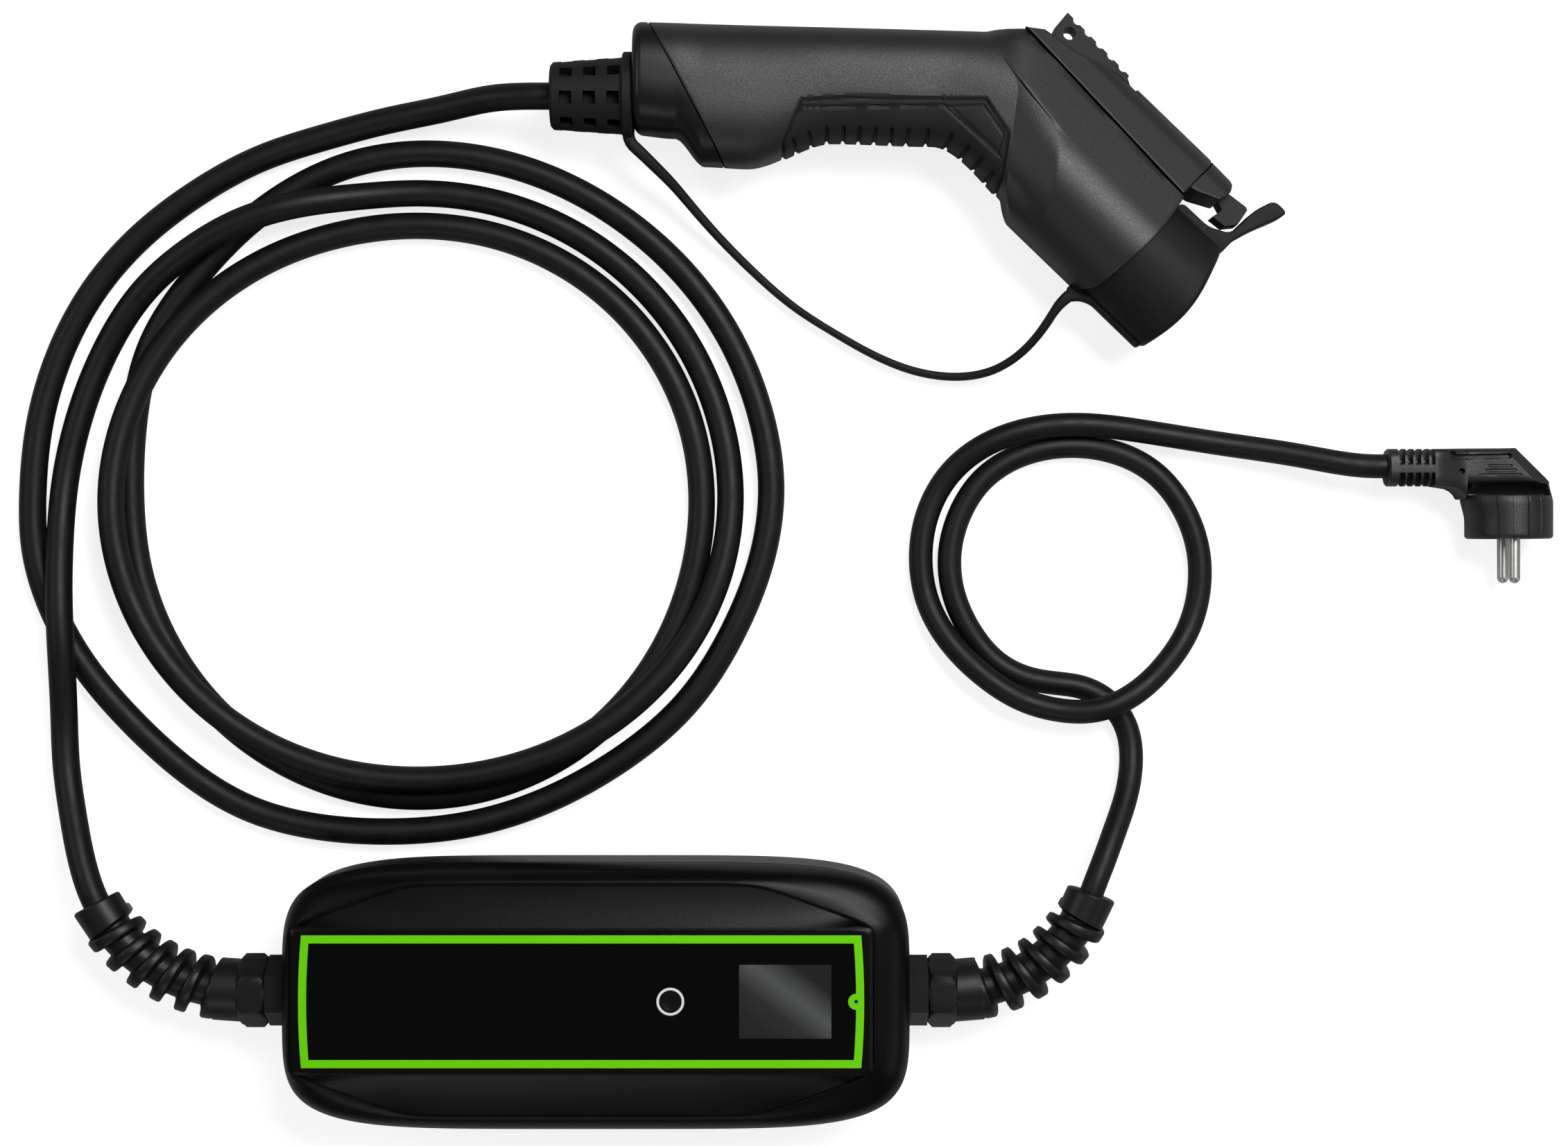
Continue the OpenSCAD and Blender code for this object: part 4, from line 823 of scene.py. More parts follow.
def nose_to_handle(t, n):
    """Place in the handle's frame of a point in the nose's frame."""
    return NOSE[0] + t * AXIS[0] + n * LIFT[0], NOSE[1] + t * AXIS[1] + n * LIFT[1]


def handle_to_nose(x, y):
    """Place in the nose's frame of a point in the handle's frame."""
    dx = x - NOSE[0]
    dy = y - NOSE[1]
    return dx * AXIS[0] + dy * AXIS[1], dx * LIFT[0] + dy * LIFT[1]


def between_keys(value, keys):
    """Straight lines between keyed pairs."""
    places, levels = np.array(keys, float).T
    return np.interp(value, places, levels)


def bowed(value, power):
    """A power that keeps the sign, for superellipses."""
    return np.sign(value) * np.abs(value) ** power


def egg_reach(turn):
    """Reach of the barrel's outline by the angle from its latch side: the hull of a large circle on the axis
    and a small one under the latch cover, that is arc, straight flank and arc."""
    a = np.abs((turn + np.pi) % TAU - np.pi)
    top = math.atan2(CROWN * math.sin(CROWN_SIDE), CROWN_N + CROWN * math.cos(CROWN_SIDE))
    cap = CROWN_N * np.cos(a) + np.sqrt(np.maximum(0, CROWN ** 2 - (CROWN_N * np.sin(a)) ** 2))
    flank = BARREL / np.cos(np.minimum(a, CROWN_SIDE) - CROWN_SIDE)
    return np.where(a < top, cap, flank)


def egg_width(n):
    """Half width of the barrel's outline at a height n."""
    flank = (BARREL - n * math.cos(CROWN_SIDE)) / math.sin(CROWN_SIDE)
    big = np.sqrt(np.maximum(0, BARREL ** 2 - n ** 2))
    small = np.sqrt(np.maximum(0, CROWN ** 2 - (n - CROWN_N) ** 2))
    low = BARREL * math.cos(CROWN_SIDE)
    high = CROWN_N + CROWN * math.cos(CROWN_SIDE)
    return np.where(n < low, big, np.where(n < high, flank, small))


def rim_reach(n):
    """Front rim of the barrel by height: a shallow bow, a short slope and a round lower corner."""
    bow = RIM_FRONT - RIM_BOW + np.sqrt(RIM_BOW ** 2 - np.clip(n - RIM_MIDDLE, -40, 40) ** 2)
    below = np.clip(RIM_LOW - n, 0, RIM_CORNER)
    corner = RIM_CORNER_T + np.sqrt(np.maximum(0, RIM_CORNER ** 2 - below ** 2))
    slope = between_keys(n, [(RIM_LOW, 0.65), (RIM_HIGH, 1.25)])
    return np.where(n > RIM_HIGH, bow, np.where(n < RIM_LOW, corner, slope))


def line_distance(x, y, points):
    """Distance of places from a line through points."""
    nearest = np.full(np.shape(x), 1e9)
    for (ax, ay), (bx, by) in zip(points[:-1], points[1:]):
        dx, dy = bx - ax, by - ay
        share = np.clip(((x - ax) * dx + (y - ay) * dy) / (dx * dx + dy * dy), 0, 1)
        nearest = np.minimum(nearest, np.hypot(x - ax - share * dx, y - ay - share * dy))
    return nearest


def depth_within(x, y, points):
    """Distance from a closed outline, positive inside it."""
    loop = [*points, points[0]]
    odd = np.zeros(np.shape(x), bool)
    for (ax, ay), (bx, by) in zip(loop[:-1], loop[1:]):
        if ay != by:
            odd ^= ((ay > y) != (by > y)) & (x < ax + (y - ay) * (bx - ax) / (by - ay))
    return np.where(odd, 1, -1) * line_distance(x, y, loop)


def raised(rows, height, closed=True):
    """Rows moved along their normals by a height."""
    along = np.gradient(rows, axis=0)
    across = np.roll(rows, -1, axis=1) - np.roll(rows, 1, axis=1) if closed else np.gradient(rows, axis=1)
    normal = np.cross(along, across)
    length = np.linalg.norm(normal, axis=-1, keepdims=True)
    normal = normal / np.maximum(length, 1e-9)
    outwards = np.sign(np.sum(normal * (rows - rows.mean(axis=1, keepdims=True))))
    return rows + outwards * normal * height[..., None]


def drawn_in(row, amount):
    """A ring moved towards its middle."""
    return row - unit(row - row.mean(axis=0)) * amount


def fillet(depth, radius):
    """How far a round edge of that radius falls back at a depth inside the edge."""
    short = radius - np.clip(depth, 0, radius)
    return radius - np.sqrt(radius ** 2 - short ** 2)


def top_line(x):
    """The neck's straight top by x."""
    return 30.5 - 0.027 * x


def spread_out(turn):
    """Angles shifted so that the columns of a superellipse lie more evenly."""
    return turn - 0.2 * np.sin(4 * turn)


class CHARGER_OT_handle(bpy.types.Operator):
    """Builds the connector's housing, rear cap and ribbed grip"""
    bl_idname = "charger.handle"
    bl_label = "Connector handle"

    sides = 216
    power = 2 / 2.7
    rear_round = 4
    straight = (56, 130)
    row_step = 0.5
    smooth_reach = (30, 45)
    smooth_times = 90
    seat_radius = 26.9
    seat_floor = -9.5
    bore = 22.2
    rails = (4.2, 7.2)
    grip_start = 59
    grip_let_in = 0.9
    grip_sunk = 1.6
    grip_rise = 2.2
    grip_thick = 3.4
    slot_depth = 1.4
    crease = [(-28.5, -31), (-19.1, -36.3), (-6.3, -43.2), (7.3, -52.1), (11.3, -58.1), (14, -80), (30, -95),
              (51, -96)]
    inner_line = [(65.6, -17), (71.6, -7.6), (130, -7), (153.4, -28.4)]
    front_panel = [(132.6, -7.7), (146.4, -7.5), (154.8, -19.6), (152.4, -26.4), (132.6, -7.7)]
    slots = [(68.6, 3.4), (75, 3.6), (81.6, 3.8), (88.4, 3.8), (95, 3.8), (101.6, 3.8), (108.4, 3.8),
             (115.2, 3.8), (123.6, 3.8), (132, 3.8), (138.4, 3.5), (143.6, 3.2), (148.6, 3)]

    def execute(self, context):
        turn = spread_out(round_turn(self.sides))
        self.housing(self.neck(turn), turn)
        self.rear_cap(turn)
        self.grip()
        return {"FINISHED"}

    def section(self, place, turn):
        """A superellipse row where a slanted plane, x by y, cuts the handle, found by putting y in again and
        again."""
        y = np.zeros_like(turn)
        for _ in range(30):
            x = place(y)
            round_off = fillet(x, self.rear_round)
            high = top_line(x) - round_off
            low = eased(x, UNDERSIDE) + round_off
            y = (high + low) / 2 + (high - low) / 2 * bowed(np.cos(turn), self.power)
        width = eased(x, HALF_WIDTH) - round_off
        return np.stack([x, y, width * bowed(np.sin(turn), self.power)], axis=-1)

    def seam(self, y):
        """Slanted seam between the rear cap and the housing."""
        return 5.6 + (31 - y) * 33 / 62

    def neck_end(self, y):
        """Slanted line where the neck meets the barrel, drawn back along the top."""
        return 155.5 + (y + 43) * 8.4 / 69 - 14 * even_step((y + 2) / 28)

    def neck(self, turn, first=None):
        """Rows of the neck from the seam, or from a plane x, to the barrel."""
        start, stop = self.straight
        rows = []
        if first is None:
            rows += [self.section(lambda y: (1 - f) * (self.seam(y) + 0.25) + f * start, turn)
                     for f in np.linspace(0, 1, 70)[:-1]]
        rows += [self.section(lambda y: np.full_like(y, x), turn)
                 for x in np.arange(first or start, stop, self.row_step)]
        rows += [self.section(lambda y: (1 - f) * stop + f * self.neck_end(y), turn)
                 for f in np.linspace(0, 1, 80)]
        return np.stack(rows)

    def facets(self, end, n, z):
        """Rows from the neck's end to the corner below it, and on to the crease behind the barrel."""
        corner_t = -46 - (np.clip(n, -BARREL, -21) + BARREL) * 1.25
        share = even_step((-n - 17) / 8)[:, None]
        corner = end * (1 - share) + nose_in_handle(corner_t, n, z) * share
        crease = nose_in_handle(between_keys(n, self.crease), n, z)
        rows = [end + (corner - end) * f for f in np.linspace(0, 1, 7)[1:]]
        return rows + [corner + (crease - corner) * f for f in np.linspace(0, 1, 24)[1:]]

    def barrel(self, n, z):
        """Rows along the barrel from the crease to the rim."""
        crease_t = between_keys(n, self.crease)
        length = rim_reach(n) - 0.5 - crease_t
        return [nose_in_handle(crease_t + length * f, n, z) for f in np.linspace(0, 1, 70)[1:]]

    def smoothed(self, rows, middle, n):
        """Rows near the neck's end drawn towards the mean of their neighbours: twice all round, and many more
        times on the latch side."""
        start = middle - self.smooth_reach[0]
        stop = middle + self.smooth_reach[1]
        soft = even_step((n - 6) / 8)[None, :, None]
        for done in range(self.smooth_times):
            mean = (rows[start - 1:stop - 1] + 2 * rows[start:stop] + rows[start + 1:stop + 1]) / 4
            share = 1 if done < 2 else soft
            rows[start:stop] += (mean - rows[start:stop]) * share
        return rows

    def seat(self, rim_t, rim_n, z, turn):
        """The rim's round edge, and the round seat of the dust cap behind it."""
        rows = []
        for inset, ahead in ((0.15, 0.35), (0.5, 0.5)):
            scale = 1 - inset / np.hypot(rim_n, z)
            rows.append(nose_in_handle(rim_t + ahead, rim_n * scale, z * scale))
        steps = [(self.seat_radius, rim_t + 0.3), (self.seat_radius, self.seat_floor)]
        for radius, t in [*steps, (self.bore, self.seat_floor)]:
            rows.append(nose_in_handle(t, radius * np.cos(turn), radius * np.sin(turn)))
        return rows

    def housing(self, neck, turn):
        """Neck, the facets behind the barrel, the barrel to its bowed rim, and the seat behind the rim; flat
        under the groove of the latch cover and let in where the grip lies."""
        reach = egg_reach(turn)
        n = reach * np.cos(turn)
        z = reach * np.sin(turn)
        rows = np.concatenate([neck, self.facets(neck[-1], n, z), self.barrel(n, z)])
        rows = self.smoothed(rows, len(neck), n)
        depth = depth_within(rows[..., 0], rows[..., 1], GRIP)
        rows = raised(rows, -even_step(depth / self.grip_let_in + 1))
        t, height = handle_to_nose(rows[..., 0], rows[..., 1])
        height = np.where(t > GROOVE[0][0] - 2, np.minimum(height, between_keys(t, GROOVE)), height)
        x, y = nose_to_handle(t, height)
        rows[..., 0] = x
        rows[..., 1] = np.minimum(y, top_line(x))
        lip = [drawn_in(rows[0], 1.6), drawn_in(rows[0], 0.3)]
        rows = np.concatenate([lip, rows[1:], self.seat(t[-1], height[-1], z, turn)])
        piece = make_piece("housing", "handle_charcoal", rows + HANDLE, self.tongue(), crease=40)
        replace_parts(piece, "handle_shell_upper", "handle_shell_lower")

    def tongue(self):
        """A channel along the groove, in the lever's slot, whose two rails close the gap under the cover."""
        t = np.linspace(-95, -3, 30)[:, None]
        inner, outer = self.rails
        n = between_keys(t, GROOVE) + np.array([-1.5, 1.7, 1.7, 0.1, 0.1, 1.7, 1.7, -1.5])[None]
        return in_nose(t, n, np.array([-outer, -outer, -inner, -inner, inner, inner, outer, outer])[None])

    def rear_cap(self, turn):
        """Rows from the round rear edge to the slanted seam."""
        rows = [self.section(lambda y: f * (self.seam(y) - 0.35), turn) for f in np.linspace(0, 1, 60) ** 1.4]
        rows += [drawn_in(rows[-1], 0.35), drawn_in(rows[-1], 2)]
        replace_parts(make_piece("rear_cap", "end_cap_black", np.stack(rows) + HANDLE), "handle_end_cap")

    def grip(self):
        """The neck's skin again over the grip's outline: proud inside it, sunk outside it, cut by rib slots
        across the underside and by the lines of the inner panel; closed by a second skin below."""
        lower = spread_out(np.radians(np.linspace(55, 305, 210)))
        rows = self.neck(lower, self.grip_start)
        x, y = rows[..., 0], rows[..., 1]
        height = self.grip_rise * even_step((depth_within(x, y, GRIP) + 0.3) / 1.2) - self.grip_sunk
        for line, deep in ((self.inner_line, 0.8), (self.front_panel, 0.7)):
            height -= deep * (1 - even_step((line_distance(x, y, line) - 0.25) / 0.5))
        height -= 0.25 * even_step(depth_within(x, y, self.front_panel[:-1]) / 0.6)
        for middle, rise in self.slots:
            slope = eased(middle + 0.5, UNDERSIDE) - eased(middle - 0.5, UNDERSIDE)
            along = np.array([1, slope]) / math.hypot(1, slope)
            dx = x - middle
            dy = y - eased(middle, UNDERSIDE)
            aside = np.abs(dx * along[0] + dy * along[1])
            up = dy * along[0] - dx * along[1]
            share = (1 - even_step((aside - 0.3) / 0.7)) * (1 - even_step((up - rise) / 1.4))
            height -= self.slot_depth * share
        below = raised(rows, np.full(rows.shape[:2], -self.grip_thick), False)
        rings = np.concatenate([raised(rows, height, False), below[:, ::-1]], axis=1)
        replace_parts(make_piece("grip", "grip_rubber", rings + HANDLE, crease=50), "grip_insert")


def softened(points, radius, steps=5):
    """A closed outline with its corners turned into curves that start at most a radius from them."""
    p = np.asarray(points, float)
    before = np.roll(p, 1, axis=0) - p
    after = np.roll(p, -1, axis=0) - p
    out = []
    for corner, back, on in zip(p, before, after):
        start = corner + back * min(0.45, radius / np.linalg.norm(back))
        stop = corner + on * min(0.45, radius / np.linalg.norm(on))
        for f in np.linspace(0, 1, steps):
            out.append((1 - f) ** 2 * start + 2 * f * (1 - f) * corner + f * f * stop)
    return np.array(out)


def cushion(outline, half, edge):
    """An outline carried across its plane to both sides, drawn in on a quarter circle at both edges. Gives
    plane places and heights as rows."""
    along = np.roll(outline, -1, axis=0) - np.roll(outline, 1, axis=0)
    normal = unit(np.column_stack([along[:, 1], -along[:, 0]]))
    x, y = outline.T
    area = np.sum(x * np.roll(y, -1) - y * np.roll(x, -1))
    normal = normal * np.sign(area)
    turns = np.linspace(0, np.pi / 2, 6)
    steps = [(edge * (1 - math.sin(a)), -half + edge * (1 - math.cos(a))) for a in turns]
    steps += [(inset, -z) for inset, z in reversed(steps)]
    return np.stack([
        np.column_stack([outline - normal * inset, np.full(len(outline), z)]) for inset, z in steps])


class CHARGER_OT_latch(bpy.types.Operator):
    """Builds the latch cover and the hood over the lever's front"""
    bl_idname = "charger.latch"
    bl_label = "Latch"

    slot = 7.6
    roof = 48
    rear = -97
    front = -1.9
    groove_gap = 0.9
    bridge_rear = -45.4
    hood_rear = -1.2
    hood_front = 12.7
    ramp = [(-97, 34.5), (-95.8, 35), (-90.5, 39.4), (-74, 42.3), (-52, 50.2), (-51, 60)]
    hood_profile = [(-1.2, 33.4), (2.4, 34.2), (7.8, 36.8), (11.6, 38.6), (12.8, 43), (12.6, 45.4),
                    (11.2, 48.2), (9.6, 49.2), (-1.2, 49.8)]
    hood_low = [(-1.2, 33.4), (2.4, 34.2), (7.8, 36.8), (11.6, 38.6), (12.6, 42), (12.8, 43)]
    hood_high = [(-1.2, 49.8), (9.6, 49.2), (11.2, 48.2), (12.4, 45.8), (12.8, 44)]

    def execute(self, context):
        grids = [self.cheek(1), self.cheek(-1), self.bridge()]
        cover = make_piece("cover", "handle_charcoal", *grids, crease=40)
        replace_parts(cover, "latch_cover")
        hood = make_piece("hood", "handle_charcoal", self.hood(), body="latch", crease=40)
        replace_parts(hood, "latch_hood")
        return {"FINISHED"}

    def spread(self, low, high, count):
        """Places between two ends, closer together towards both."""
        return low + (high - low) * (1 - np.cos(np.linspace(0, np.pi, count))) / 2

    def cheek(self, side):
        """One flank of the cover: the barrel's outline over the groove and under the ramp, with round edges,
        and the flat wall of the lever's slot."""
        t = self.spread(self.rear, self.front, 150)[:, None]
        low = between_keys(t, GROOVE) + self.groove_gap
        top = CROWN_N + math.sqrt(CROWN ** 2 - self.slot ** 2)
        high = np.maximum(np.minimum(between_keys(t, self.ramp), top), low + 0.05)
        share = self.spread(0, 1, 40)[None]
        n = low + (high - low) * share
        edge = np.minimum(n - low, self.front - t)
        ramp = np.where(high < top - 0.01, high - n, 9)
        width = egg_width(n) - fillet(edge, 0.7) - fillet(ramp, 1.0)
        width = np.maximum(width - 0.25 * (1 - even_step((top - n) / 0.3)), self.slot)
        outer = in_nose(self.swept(t, width), n, side * width)
        inner = in_nose(self.swept(t, self.slot), n, np.full_like(n, side * self.slot))
        return np.concatenate([outer, inner[:, ::-1]], axis=1)

    def vee(self, z):
        """The shallow V between cover and hood: how far it lies ahead, by the distance from the middle."""
        return 0.2 * np.minimum(np.abs(z), 9)

    def swept(self, t, z):
        """The cover's front end brought on to the V."""
        return t + even_step((t - self.front + 6) / 6) * (self.vee(z) - 1)

    def bridge(self):
        """The roof between the flanks, in front of the thumb pad."""
        t = self.spread(self.bridge_rear, self.front, 60)[:, None]
        z = np.linspace(-self.slot, self.slot, 30)[None]
        edge = np.minimum(self.slot - np.abs(z), np.minimum(self.front - t, t - self.bridge_rear))
        n = CROWN_N + np.sqrt(CROWN ** 2 - z ** 2) - fillet(edge, 0.4)
        under = np.full_like(n, self.roof)
        t = self.swept(t, z)
        return np.concatenate([in_nose(t, n, z), in_nose(t, under, z)[:, ::-1]], axis=1)

    def hood(self):
        """The barrel's outline inside the hood's profile, with round edges on both sides; the rear face lies
        on the V, with a gap that widens upwards for the latch's turn."""
        t = np.concatenate([[self.hood_rear] * 3, self.spread(self.hood_rear, self.hood_front, 60)])[:, None]
        inner = np.concatenate([[0.02, 0.4, 0.75], np.ones(60)])[:, None]
        low = between_keys(t, self.hood_low)
        high = between_keys(t, self.hood_high)
        n = low + (high - low) * self.spread(0, 1, 40)[None]
        edge = np.maximum(depth_within(t + 0 * n, n, self.hood_profile), 0)
        edge = np.where(t - self.hood_rear < np.minimum(n - low, high - n), 9, edge)
        width = np.maximum(egg_width(n) - fillet(edge, 0.9), 0.3) * inner
        gap = 0.12 + 0.045 * np.clip(n - 36, 0, None)
        t = t + (1 - even_step((t - self.hood_rear) / 4)) * (self.front + 0.2 + self.vee(width) + gap)
        return np.concatenate([in_nose(t, n, width), in_nose(t, n, -width)[:, ::-1]], axis=1)


class CHARGER_OT_dust_cap(bpy.types.Operator):
    """Builds the dust cap with its keel and pull tab, and the strap that holds it"""
    bl_idname = "charger.dust_cap"
    bl_label = "Dust cap"

    sides = 144
    radius = 26.5
    edge = 2.4
    bore = 22.3
    floor = 24
    seat = -9.1
    strap_half_height = 4.2
    strap_half_width = [(0, 2.6), (0.15, 2), (0.5, 1.5), (0.85, 1.8), (0.96, 1.9), (1, 2.6)]
    keel = [(-2.3, -26.6), (6, -23.4), (29.6, -23.4), (30.4, -28.2), (3.2, -28.2), (-1.2, -30.2), (-4, -33.6),
            (-7.2, -33.6), (-8, -31.2), (-9.2, -28.95), (-5, -28.3)]
    tab = [(0.8, 22), (0.8, 28.5), (16, 28.7), (24.8, 33.2), (25.3, 47), (28.4, 56), (36.2, 56), (34.8, 51.4),
           (30.4, 41), (27.6, 32), (27.6, 22)]
    strap = [(-2.4, -15.5, 28.5), (-1.6, -19, 28.4), (1.6, -22.6, 27.8), (7.5, -28, 25), (15, -35, 20),
             (25, -46, 14), (38, -60, 9), (52, -73.5, 6), (68, -87, 5), (85, -98, 5), (102, -107.5, 5),
             (118, -114, 5), (135, -117, 6), (152, -115, 10), (166, -106.5, 17), (176, -94, 25),
             (180.5, -87.6, 28), (184, -84.4, 28.5)]

    def execute(self, context):
        keel = self.extruded(self.keel, 3.5, 1.0, 2)
        tab = self.extruded(self.tab, 7.5, 0.9, 3)
        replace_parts(make_piece("cap", "cap_rubber", self.cup(), keel, tab, body="cap", crease=40), "dust_cap")
        self.lay_strap()
        return {"FINISHED"}

    def front(self, n):
        """The front's S-curve: half a cosine wave by height."""
        return 30.4 + 3.7 * np.cos(np.pi * (n + 9) / 42)

    def cup(self):
        """Rings round the nose: bore, rear edge, wall up to the S-curve, its round edge and the face."""
        turn = round_turn(self.sides)
        up = np.cos(turn)
        low = self.seat + 0.5
        rings = [(self.bore, self.floor), (self.bore, self.seat)]
        rings += [(self.radius - 0.5, self.seat), (self.radius, low)]
        wall = self.front(self.radius * up) - self.edge
        for f in np.linspace(0, 1, 30)[1:]:
            rings.append((self.radius, low + (wall - low) * f))
        for a in np.linspace(0, np.pi / 2, 9)[1:]:
            r = self.radius - self.edge * (1 - math.cos(a))
            rings.append((r, self.front(r * up) - self.edge * (1 - math.sin(a))))
        for r in np.linspace(self.radius - self.edge, 0.5, 26)[1:]:
            rings.append((r, self.front(r * up)))
        return np.stack([in_nose(t, r * up, r * np.sin(turn)) for r, t in rings])

    def extruded(self, outline, half, edge, corner):
        """A cushion on an outline of the nose's frame."""
        rows = cushion(softened(outline, corner), half, edge)
        return in_nose(*np.moveaxis(rows, -1, 0))

    def lay_strap(self):
        """A rounded band on its edge along the strap's route, thinner in the middle."""
        route = smooth_route(np.array(self.strap) + [HANDLE[0], HANDLE[1], 0], 2)
        half = between_keys(np.linspace(0, 1, len(route)), self.strap_half_width)
        turn = round_turn(24)[None]
        wide = half[:, None] * bowed(np.cos(turn), 0.6)
        tall = self.strap_half_height * bowed(np.sin(turn), 0.6)
        piece = make_piece("strap", "cap_rubber", carried(route, wide, tall), body=None, crease=50)
        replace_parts(piece, "cap_tether")
        route[0] * MM
        route[-1] * MM
        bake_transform(piece)


# Mains plug: origin on its face between the pins, pins along -y


class CHARGER_OT_plug(bpy.types.Operator):
    """Builds the mains plug's face block, arm and slotted neck"""
    bl_idname = "charger.plug"
    bl_label = "Mains plug"

    place = np.array([387.5, 191, 18.6])
    radius = 18.4
    depth = 18.4
    corner = (0.3, 38.4)
    corner_normal = (0.71, 0.704)
    bevel = 4.8
    neck_y = 30.3
    neck_half = (8, 8.1)
    slot_first = -47
    slot_pitch = 3.4
    slot_depth = 4.4
    upper = [(-33, 38.2), (-5, 38.3), (0.3, 38.4), (12.9, 25.8), (16.4, 21.6)]
    lower = [(-33, 22.2), (-26, 21.2), (-23.4, 20), (-21.6, 18.4), (-20.6, 16.6), (-20.2, 23), (16.4, 23)]
    thick = [(-33, 8.1), (-20, 12.4), (0, 14.4), (16.4, 14.6)]
    flutes = [(-19, 0), (-13.6, 0), (-13.4, 0.8), (-8.3, 0.8), (-8.1, 0.2), (-2.6, 0.2), (-2.4, 1.0),
              (4, 1.0), (4.2, 0.3), (9.5, 0.3), (9.7, 0), (19, 0)]
    neck_inset = [(-52.6, 3), (-52.5, 1.4), (-52.2, 0.6), (-51.6, 0), (-30, 0)]
    marks = [([(-26.2, 36), (-26.2, 34.4), (-3.4, 34.8)], 0.8, 2.6),
             ([(-22.8, 28.4), (-22.6, 28.4)], 0.8, 2.6),
             ([(-11.4, 30.6), (-2.6, 30.7)], 0.3, 0.6), ([(-12.6, 28.7), (-0.8, 28.7)], 0.3, 0.6),
             ([(-15, 26.7), (1.4, 26.8)], 0.3, 0.6)]

    def execute(self, context):
        grids = [grid + self.place for grid in (self.block(), self.arm(), self.neck())]
        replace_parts(make_piece("plug", "plug_black", *grids, crease=32), "plug_body")
        return {"FINISHED"}

    def block(self):
        """The round face block along y, with flutes by x on both sides and a hollow under the arm."""
        turn = round_turn(300)
        steps = [(0, -1.4), (0.25, -0.6), (0.9, -0.1), (1.6, 0)]
        steps += [(y, 0) for y in np.linspace(2.4, 17.6, 12)]
        steps += [(18.2, 0.02), (18.5, 0.9), (19, 1), (21, 1), (24, 1)]
        rows = []
        for y, drop in steps:
            rim = self.radius + min(drop, 0) - 0.25 * max(0, y - 16)
            x = rim * np.cos(turn)
            cut = between_keys(x, self.flutes) * min(1, max(0, (self.depth - y) / 0.4))
            z = np.abs(rim * np.sin(turn)) - cut
            hollow = np.minimum(z, 3 + 1.1 * max(0, y - self.depth)) * np.sign(np.sin(turn))
            z = np.maximum(z, 0.2) * np.sign(np.sin(turn))
            z = z + (hollow - z) * max(drop, 0) * even_step((15.5 - x) / 1.5)
            x = x - 2.4 * even_step((y - 7) / 13) * even_step(-x / 18)
            rows.append(np.column_stack([x, np.full_like(x, y), z]))
        return np.stack(rows)

    def arm(self):
        """Sections across x between the arm's upper and lower edge, nearly flat on both faces, bevelled along
        the slanted corner and cut by the mould's lines."""
        share = np.sin(np.linspace(-np.pi / 2, np.pi / 2, 130))
        x = np.linspace(-33, 14.4, 220)[:, None]
        high = between_keys(x, self.upper)
        low = between_keys(x, self.lower)
        y = (high + low) / 2 + (high - low) / 2 * share[None]
        half = eased(x, self.thick)
        z = half * (1 - np.abs(share) ** 6)[None] ** (1 / 6)
        x = np.broadcast_to(x, y.shape)
        inside = (self.corner[0] - x) * self.corner_normal[0] + (self.corner[1] - y) * self.corner_normal[1]
        limit = half - 0.9 * np.clip(self.bevel - inside, 0, None)
        for line, wide, deep in self.marks:
            limit = limit - deep * (1 - even_step((line_distance(x, y, line) - wide) / 0.35))
        top = np.stack([x, y, np.minimum(z, np.maximum(limit, 0.5))], axis=-1)
        return np.concatenate([top, top[:, ::-1] * [1, 1, -1]], axis=1)

    def neck(self):
        """Sections of the round neck along x, cut by five pairs of slots above and below its axis."""
        turn = round_turn(160)
        x = np.concatenate([[-52.6, -52.5, -52.2, -51.6], np.linspace(-51, -30, 150)])[:, None]
        inset = between_keys(x, self.neck_inset)
        y = self.neck_y + (self.neck_half[0] - inset) * bowed(np.cos(turn), 2 / 3)[None]
        z = (self.neck_half[1] - inset) * bowed(np.sin(turn), 2 / 3)[None]
        rows = np.stack([np.broadcast_to(x, y.shape), y, z], axis=-1)
        cut = np.zeros_like(y)
        for middle in self.slot_first + np.arange(5) * self.slot_pitch:
            cut = np.maximum(cut, 1 - even_step((np.abs(rows[..., 0] - middle) - 0.85) / 0.3))
        return raised(rows, -self.slot_depth * cut * even_step((np.abs(y - 29.8) - 1.8) / 0.8))


# Stage


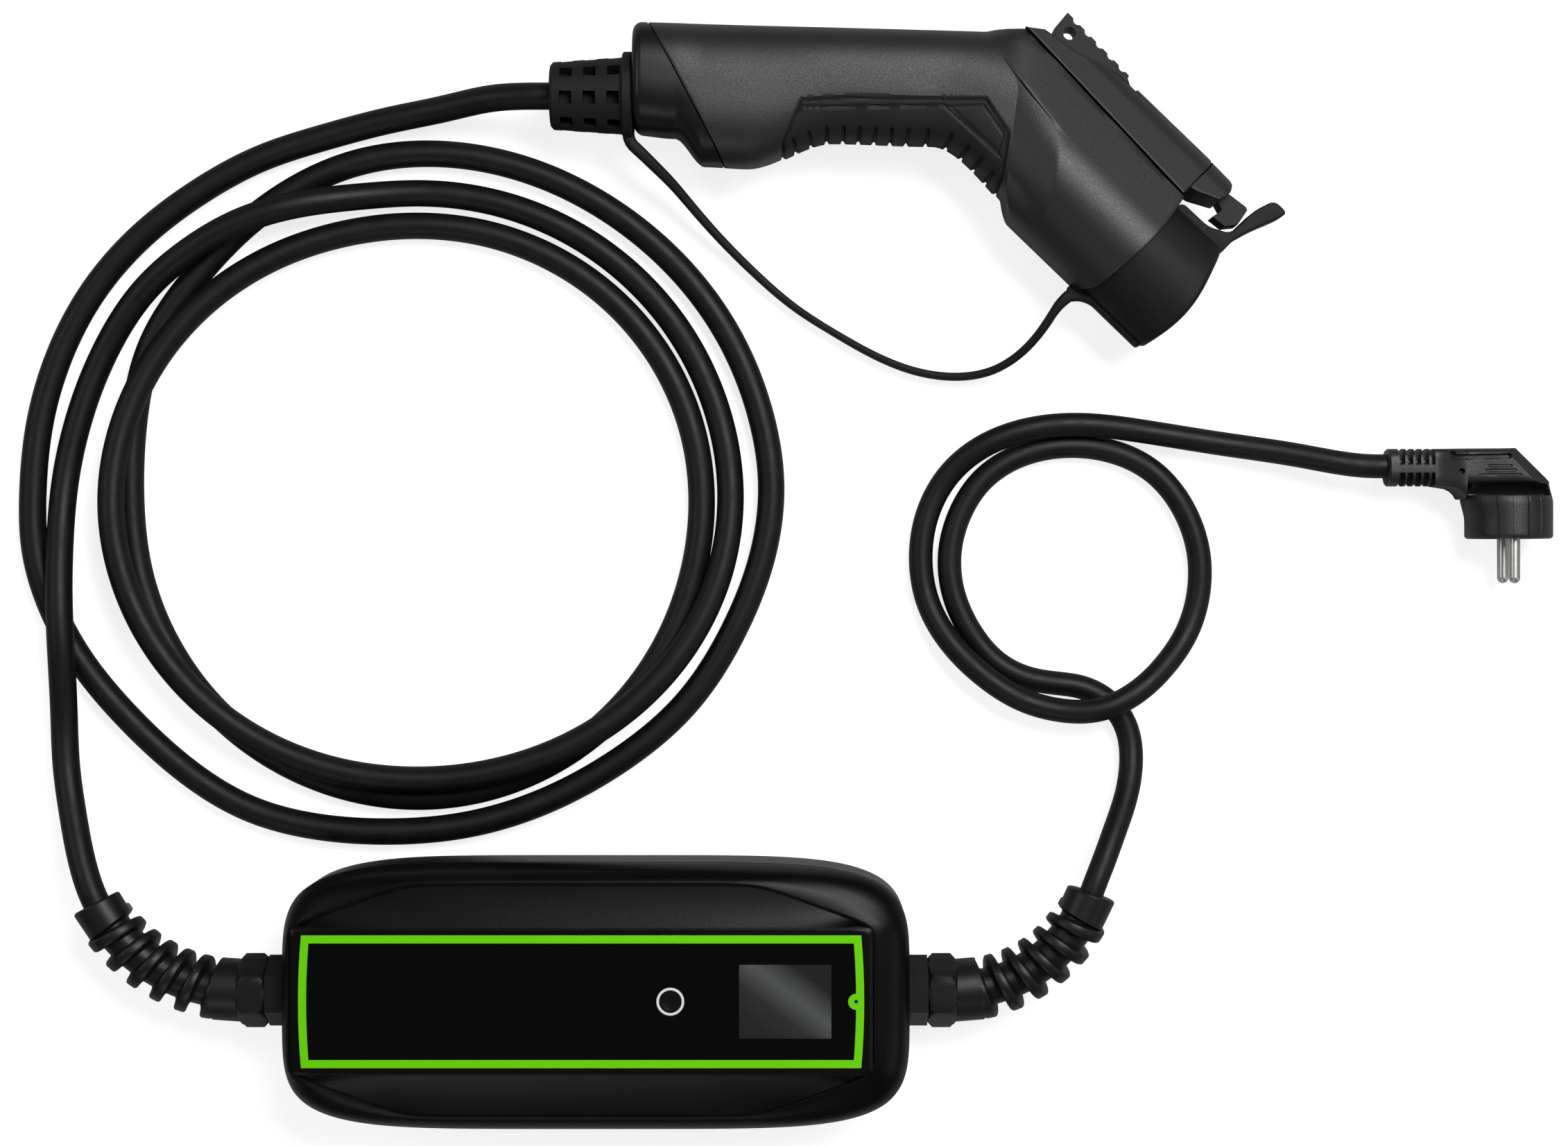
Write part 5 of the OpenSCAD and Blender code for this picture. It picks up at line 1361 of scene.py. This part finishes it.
class CHARGER_OT_stage(bpy.types.Operator):
    """Sets the floor, the soft lights and the camera"""
    bl_idname = "charger.stage"
    bl_label = "Stage"

    def execute(self, context):
        sizes = context.scene.charger_stage
        scene = context.scene
        scene.view_settings.view_transform = "Standard"
        self.camera(scene, sizes)
        self.floor(scene, sizes)
        self.lights(scene, sizes)
        return {"FINISHED"}

    def camera(self, scene, sizes):
        """A camera that looks straight down, as the photographer did."""
        lens = bpy.data.cameras.new("camera")
        lens.lens = sizes.lens
        lens.sensor_width = 36
        lens.clip_end = 20
        camera = bpy.data.objects.new("camera", lens)
        camera.location = (sizes.camera_x, sizes.camera_y, sizes.camera_height)
        scene.collection.objects.link(camera)
        scene.camera = camera

    def floor(self, scene, sizes):
        """A pale floor a hair below the charger, white to the camera where nothing shades it."""
        half = 6.0
        low = -0.0004
        corners = [(-half, -half, low), (half, -half, low), (half, half, low), (-half, half, low)]
        mesh = bpy.data.meshes.new("floor")
        mesh.from_pydata(corners, [], [(0, 1, 2, 3)])
        finish = Finish("floor")
        mottle = finish.noise(3, 2)
        seen = finish.node("ShaderNodeLightPath", output="Is Camera Ray")
        finish.set(
            base_color=finish.shaded(mottle, sizes.floor, 0.99, 1), roughness=0.9, specular_ior_level=0.0,
            emission_color=finish.between(seen, (0, 0, 0), (1, 1, 1)), emission_strength=sizes.floor_glow)
        mesh.materials.append(finish.material)
        floor = bpy.data.objects.new("floor", mesh)
        scene.collection.objects.link(floor)

    def lights(self, scene, sizes):
        """A large key from the upper right, smaller softboxes round the table, and a faint room light."""
        middle = np.array([sizes.camera_x, sizes.camera_y, 0])
        places = [(0.56, 0.7, 1.6, 2.4, 0.7), (-1.5, 0.4, 1.3, 0.5, 0.6), (1.6, -0.6, 0.9, 0.2, 0.4),
                  (-0.4, -1.5, 1.2, 0.35, 0.4)]
        for number, (x, y, z, share, tall) in enumerate(places):
            light = bpy.data.lights.new(f"softbox_{number}", "AREA")
            light.shape = "RECTANGLE"
            light.size = 1.0
            light.size_y = tall
            light.energy = sizes.softbox * share
            lamp = bpy.data.objects.new(f"softbox_{number}", light)
            place = middle + [x, y, z]
            lamp.location = place
            towards = middle - place
            turn = math.atan2(towards[1], towards[0]) - math.pi / 2
            tilt = math.atan2(math.hypot(towards[0], towards[1]), -towards[2])
            lamp.rotation_euler = (tilt, 0, turn)
            scene.collection.objects.link(lamp)
        world = bpy.data.worlds.new("room")
        world.use_nodes = True
        background = world.node_tree.nodes["Background"]
        background.inputs["Color"].default_value = (1, 1, 1, 1)
        background.inputs["Strength"].default_value = sizes.world_light
        scene.world = world


class CHARGER_PT_sidebar(bpy.types.Panel):
    """Lists the charger's pieces and its sizes"""
    bl_idname = "CHARGER_PT_sidebar"
    bl_label = "Portable car charger"
    bl_space_type = "VIEW_3D"
    bl_region_type = "UI"
    bl_category = "Charger"

    def draw(self, context):
        for operator in OPERATORS:
            self.layout.operator(operator.bl_idname)
        for group in GROUPS:
            settings = getattr(context.scene, group)
            box = self.layout.box()
            for key in GROUPS[group].__annotations__:
                box.prop(settings, key)


GROUPS = {
    "charger_box": BoxSettings,
    "charger_cables": CableSettings,
    "charger_connector": ConnectorSettings,
    "charger_stage": StageSettings,
}
OPERATORS = [CHARGER_OT_stage, CHARGER_OT_plug, CHARGER_OT_cables, CHARGER_OT_box, CHARGER_OT_glands,
             CHARGER_OT_handle, CHARGER_OT_latch, CHARGER_OT_dust_cap]
CLASSES = [*GROUPS.values(), *OPERATORS, CHARGER_PT_sidebar]


def register():
    for cls in CLASSES:
        bpy.utils.register_class(cls)
    for name, group in GROUPS.items():
        setattr(bpy.types.Scene, name, bpy.props.PointerProperty(type=group))


def unregister():
    for name in GROUPS:
        delattr(bpy.types.Scene, name)
    for cls in reversed(CLASSES):
        bpy.utils.unregister_class(cls)


def main():
    """Registers the add-on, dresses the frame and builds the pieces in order."""
    register()
    FINISHES.update(build_finishes(bpy.context.scene))
    dress_nodes()
    bpy.ops.charger.stage()
    bpy.ops.charger.plug()
    bpy.ops.charger.cables()
    bpy.ops.charger.box()
    bpy.ops.charger.glands()
    bpy.ops.charger.handle()
    bpy.ops.charger.latch()
    bpy.ops.charger.dust_cap()


if __name__ == "__main__":
    main()
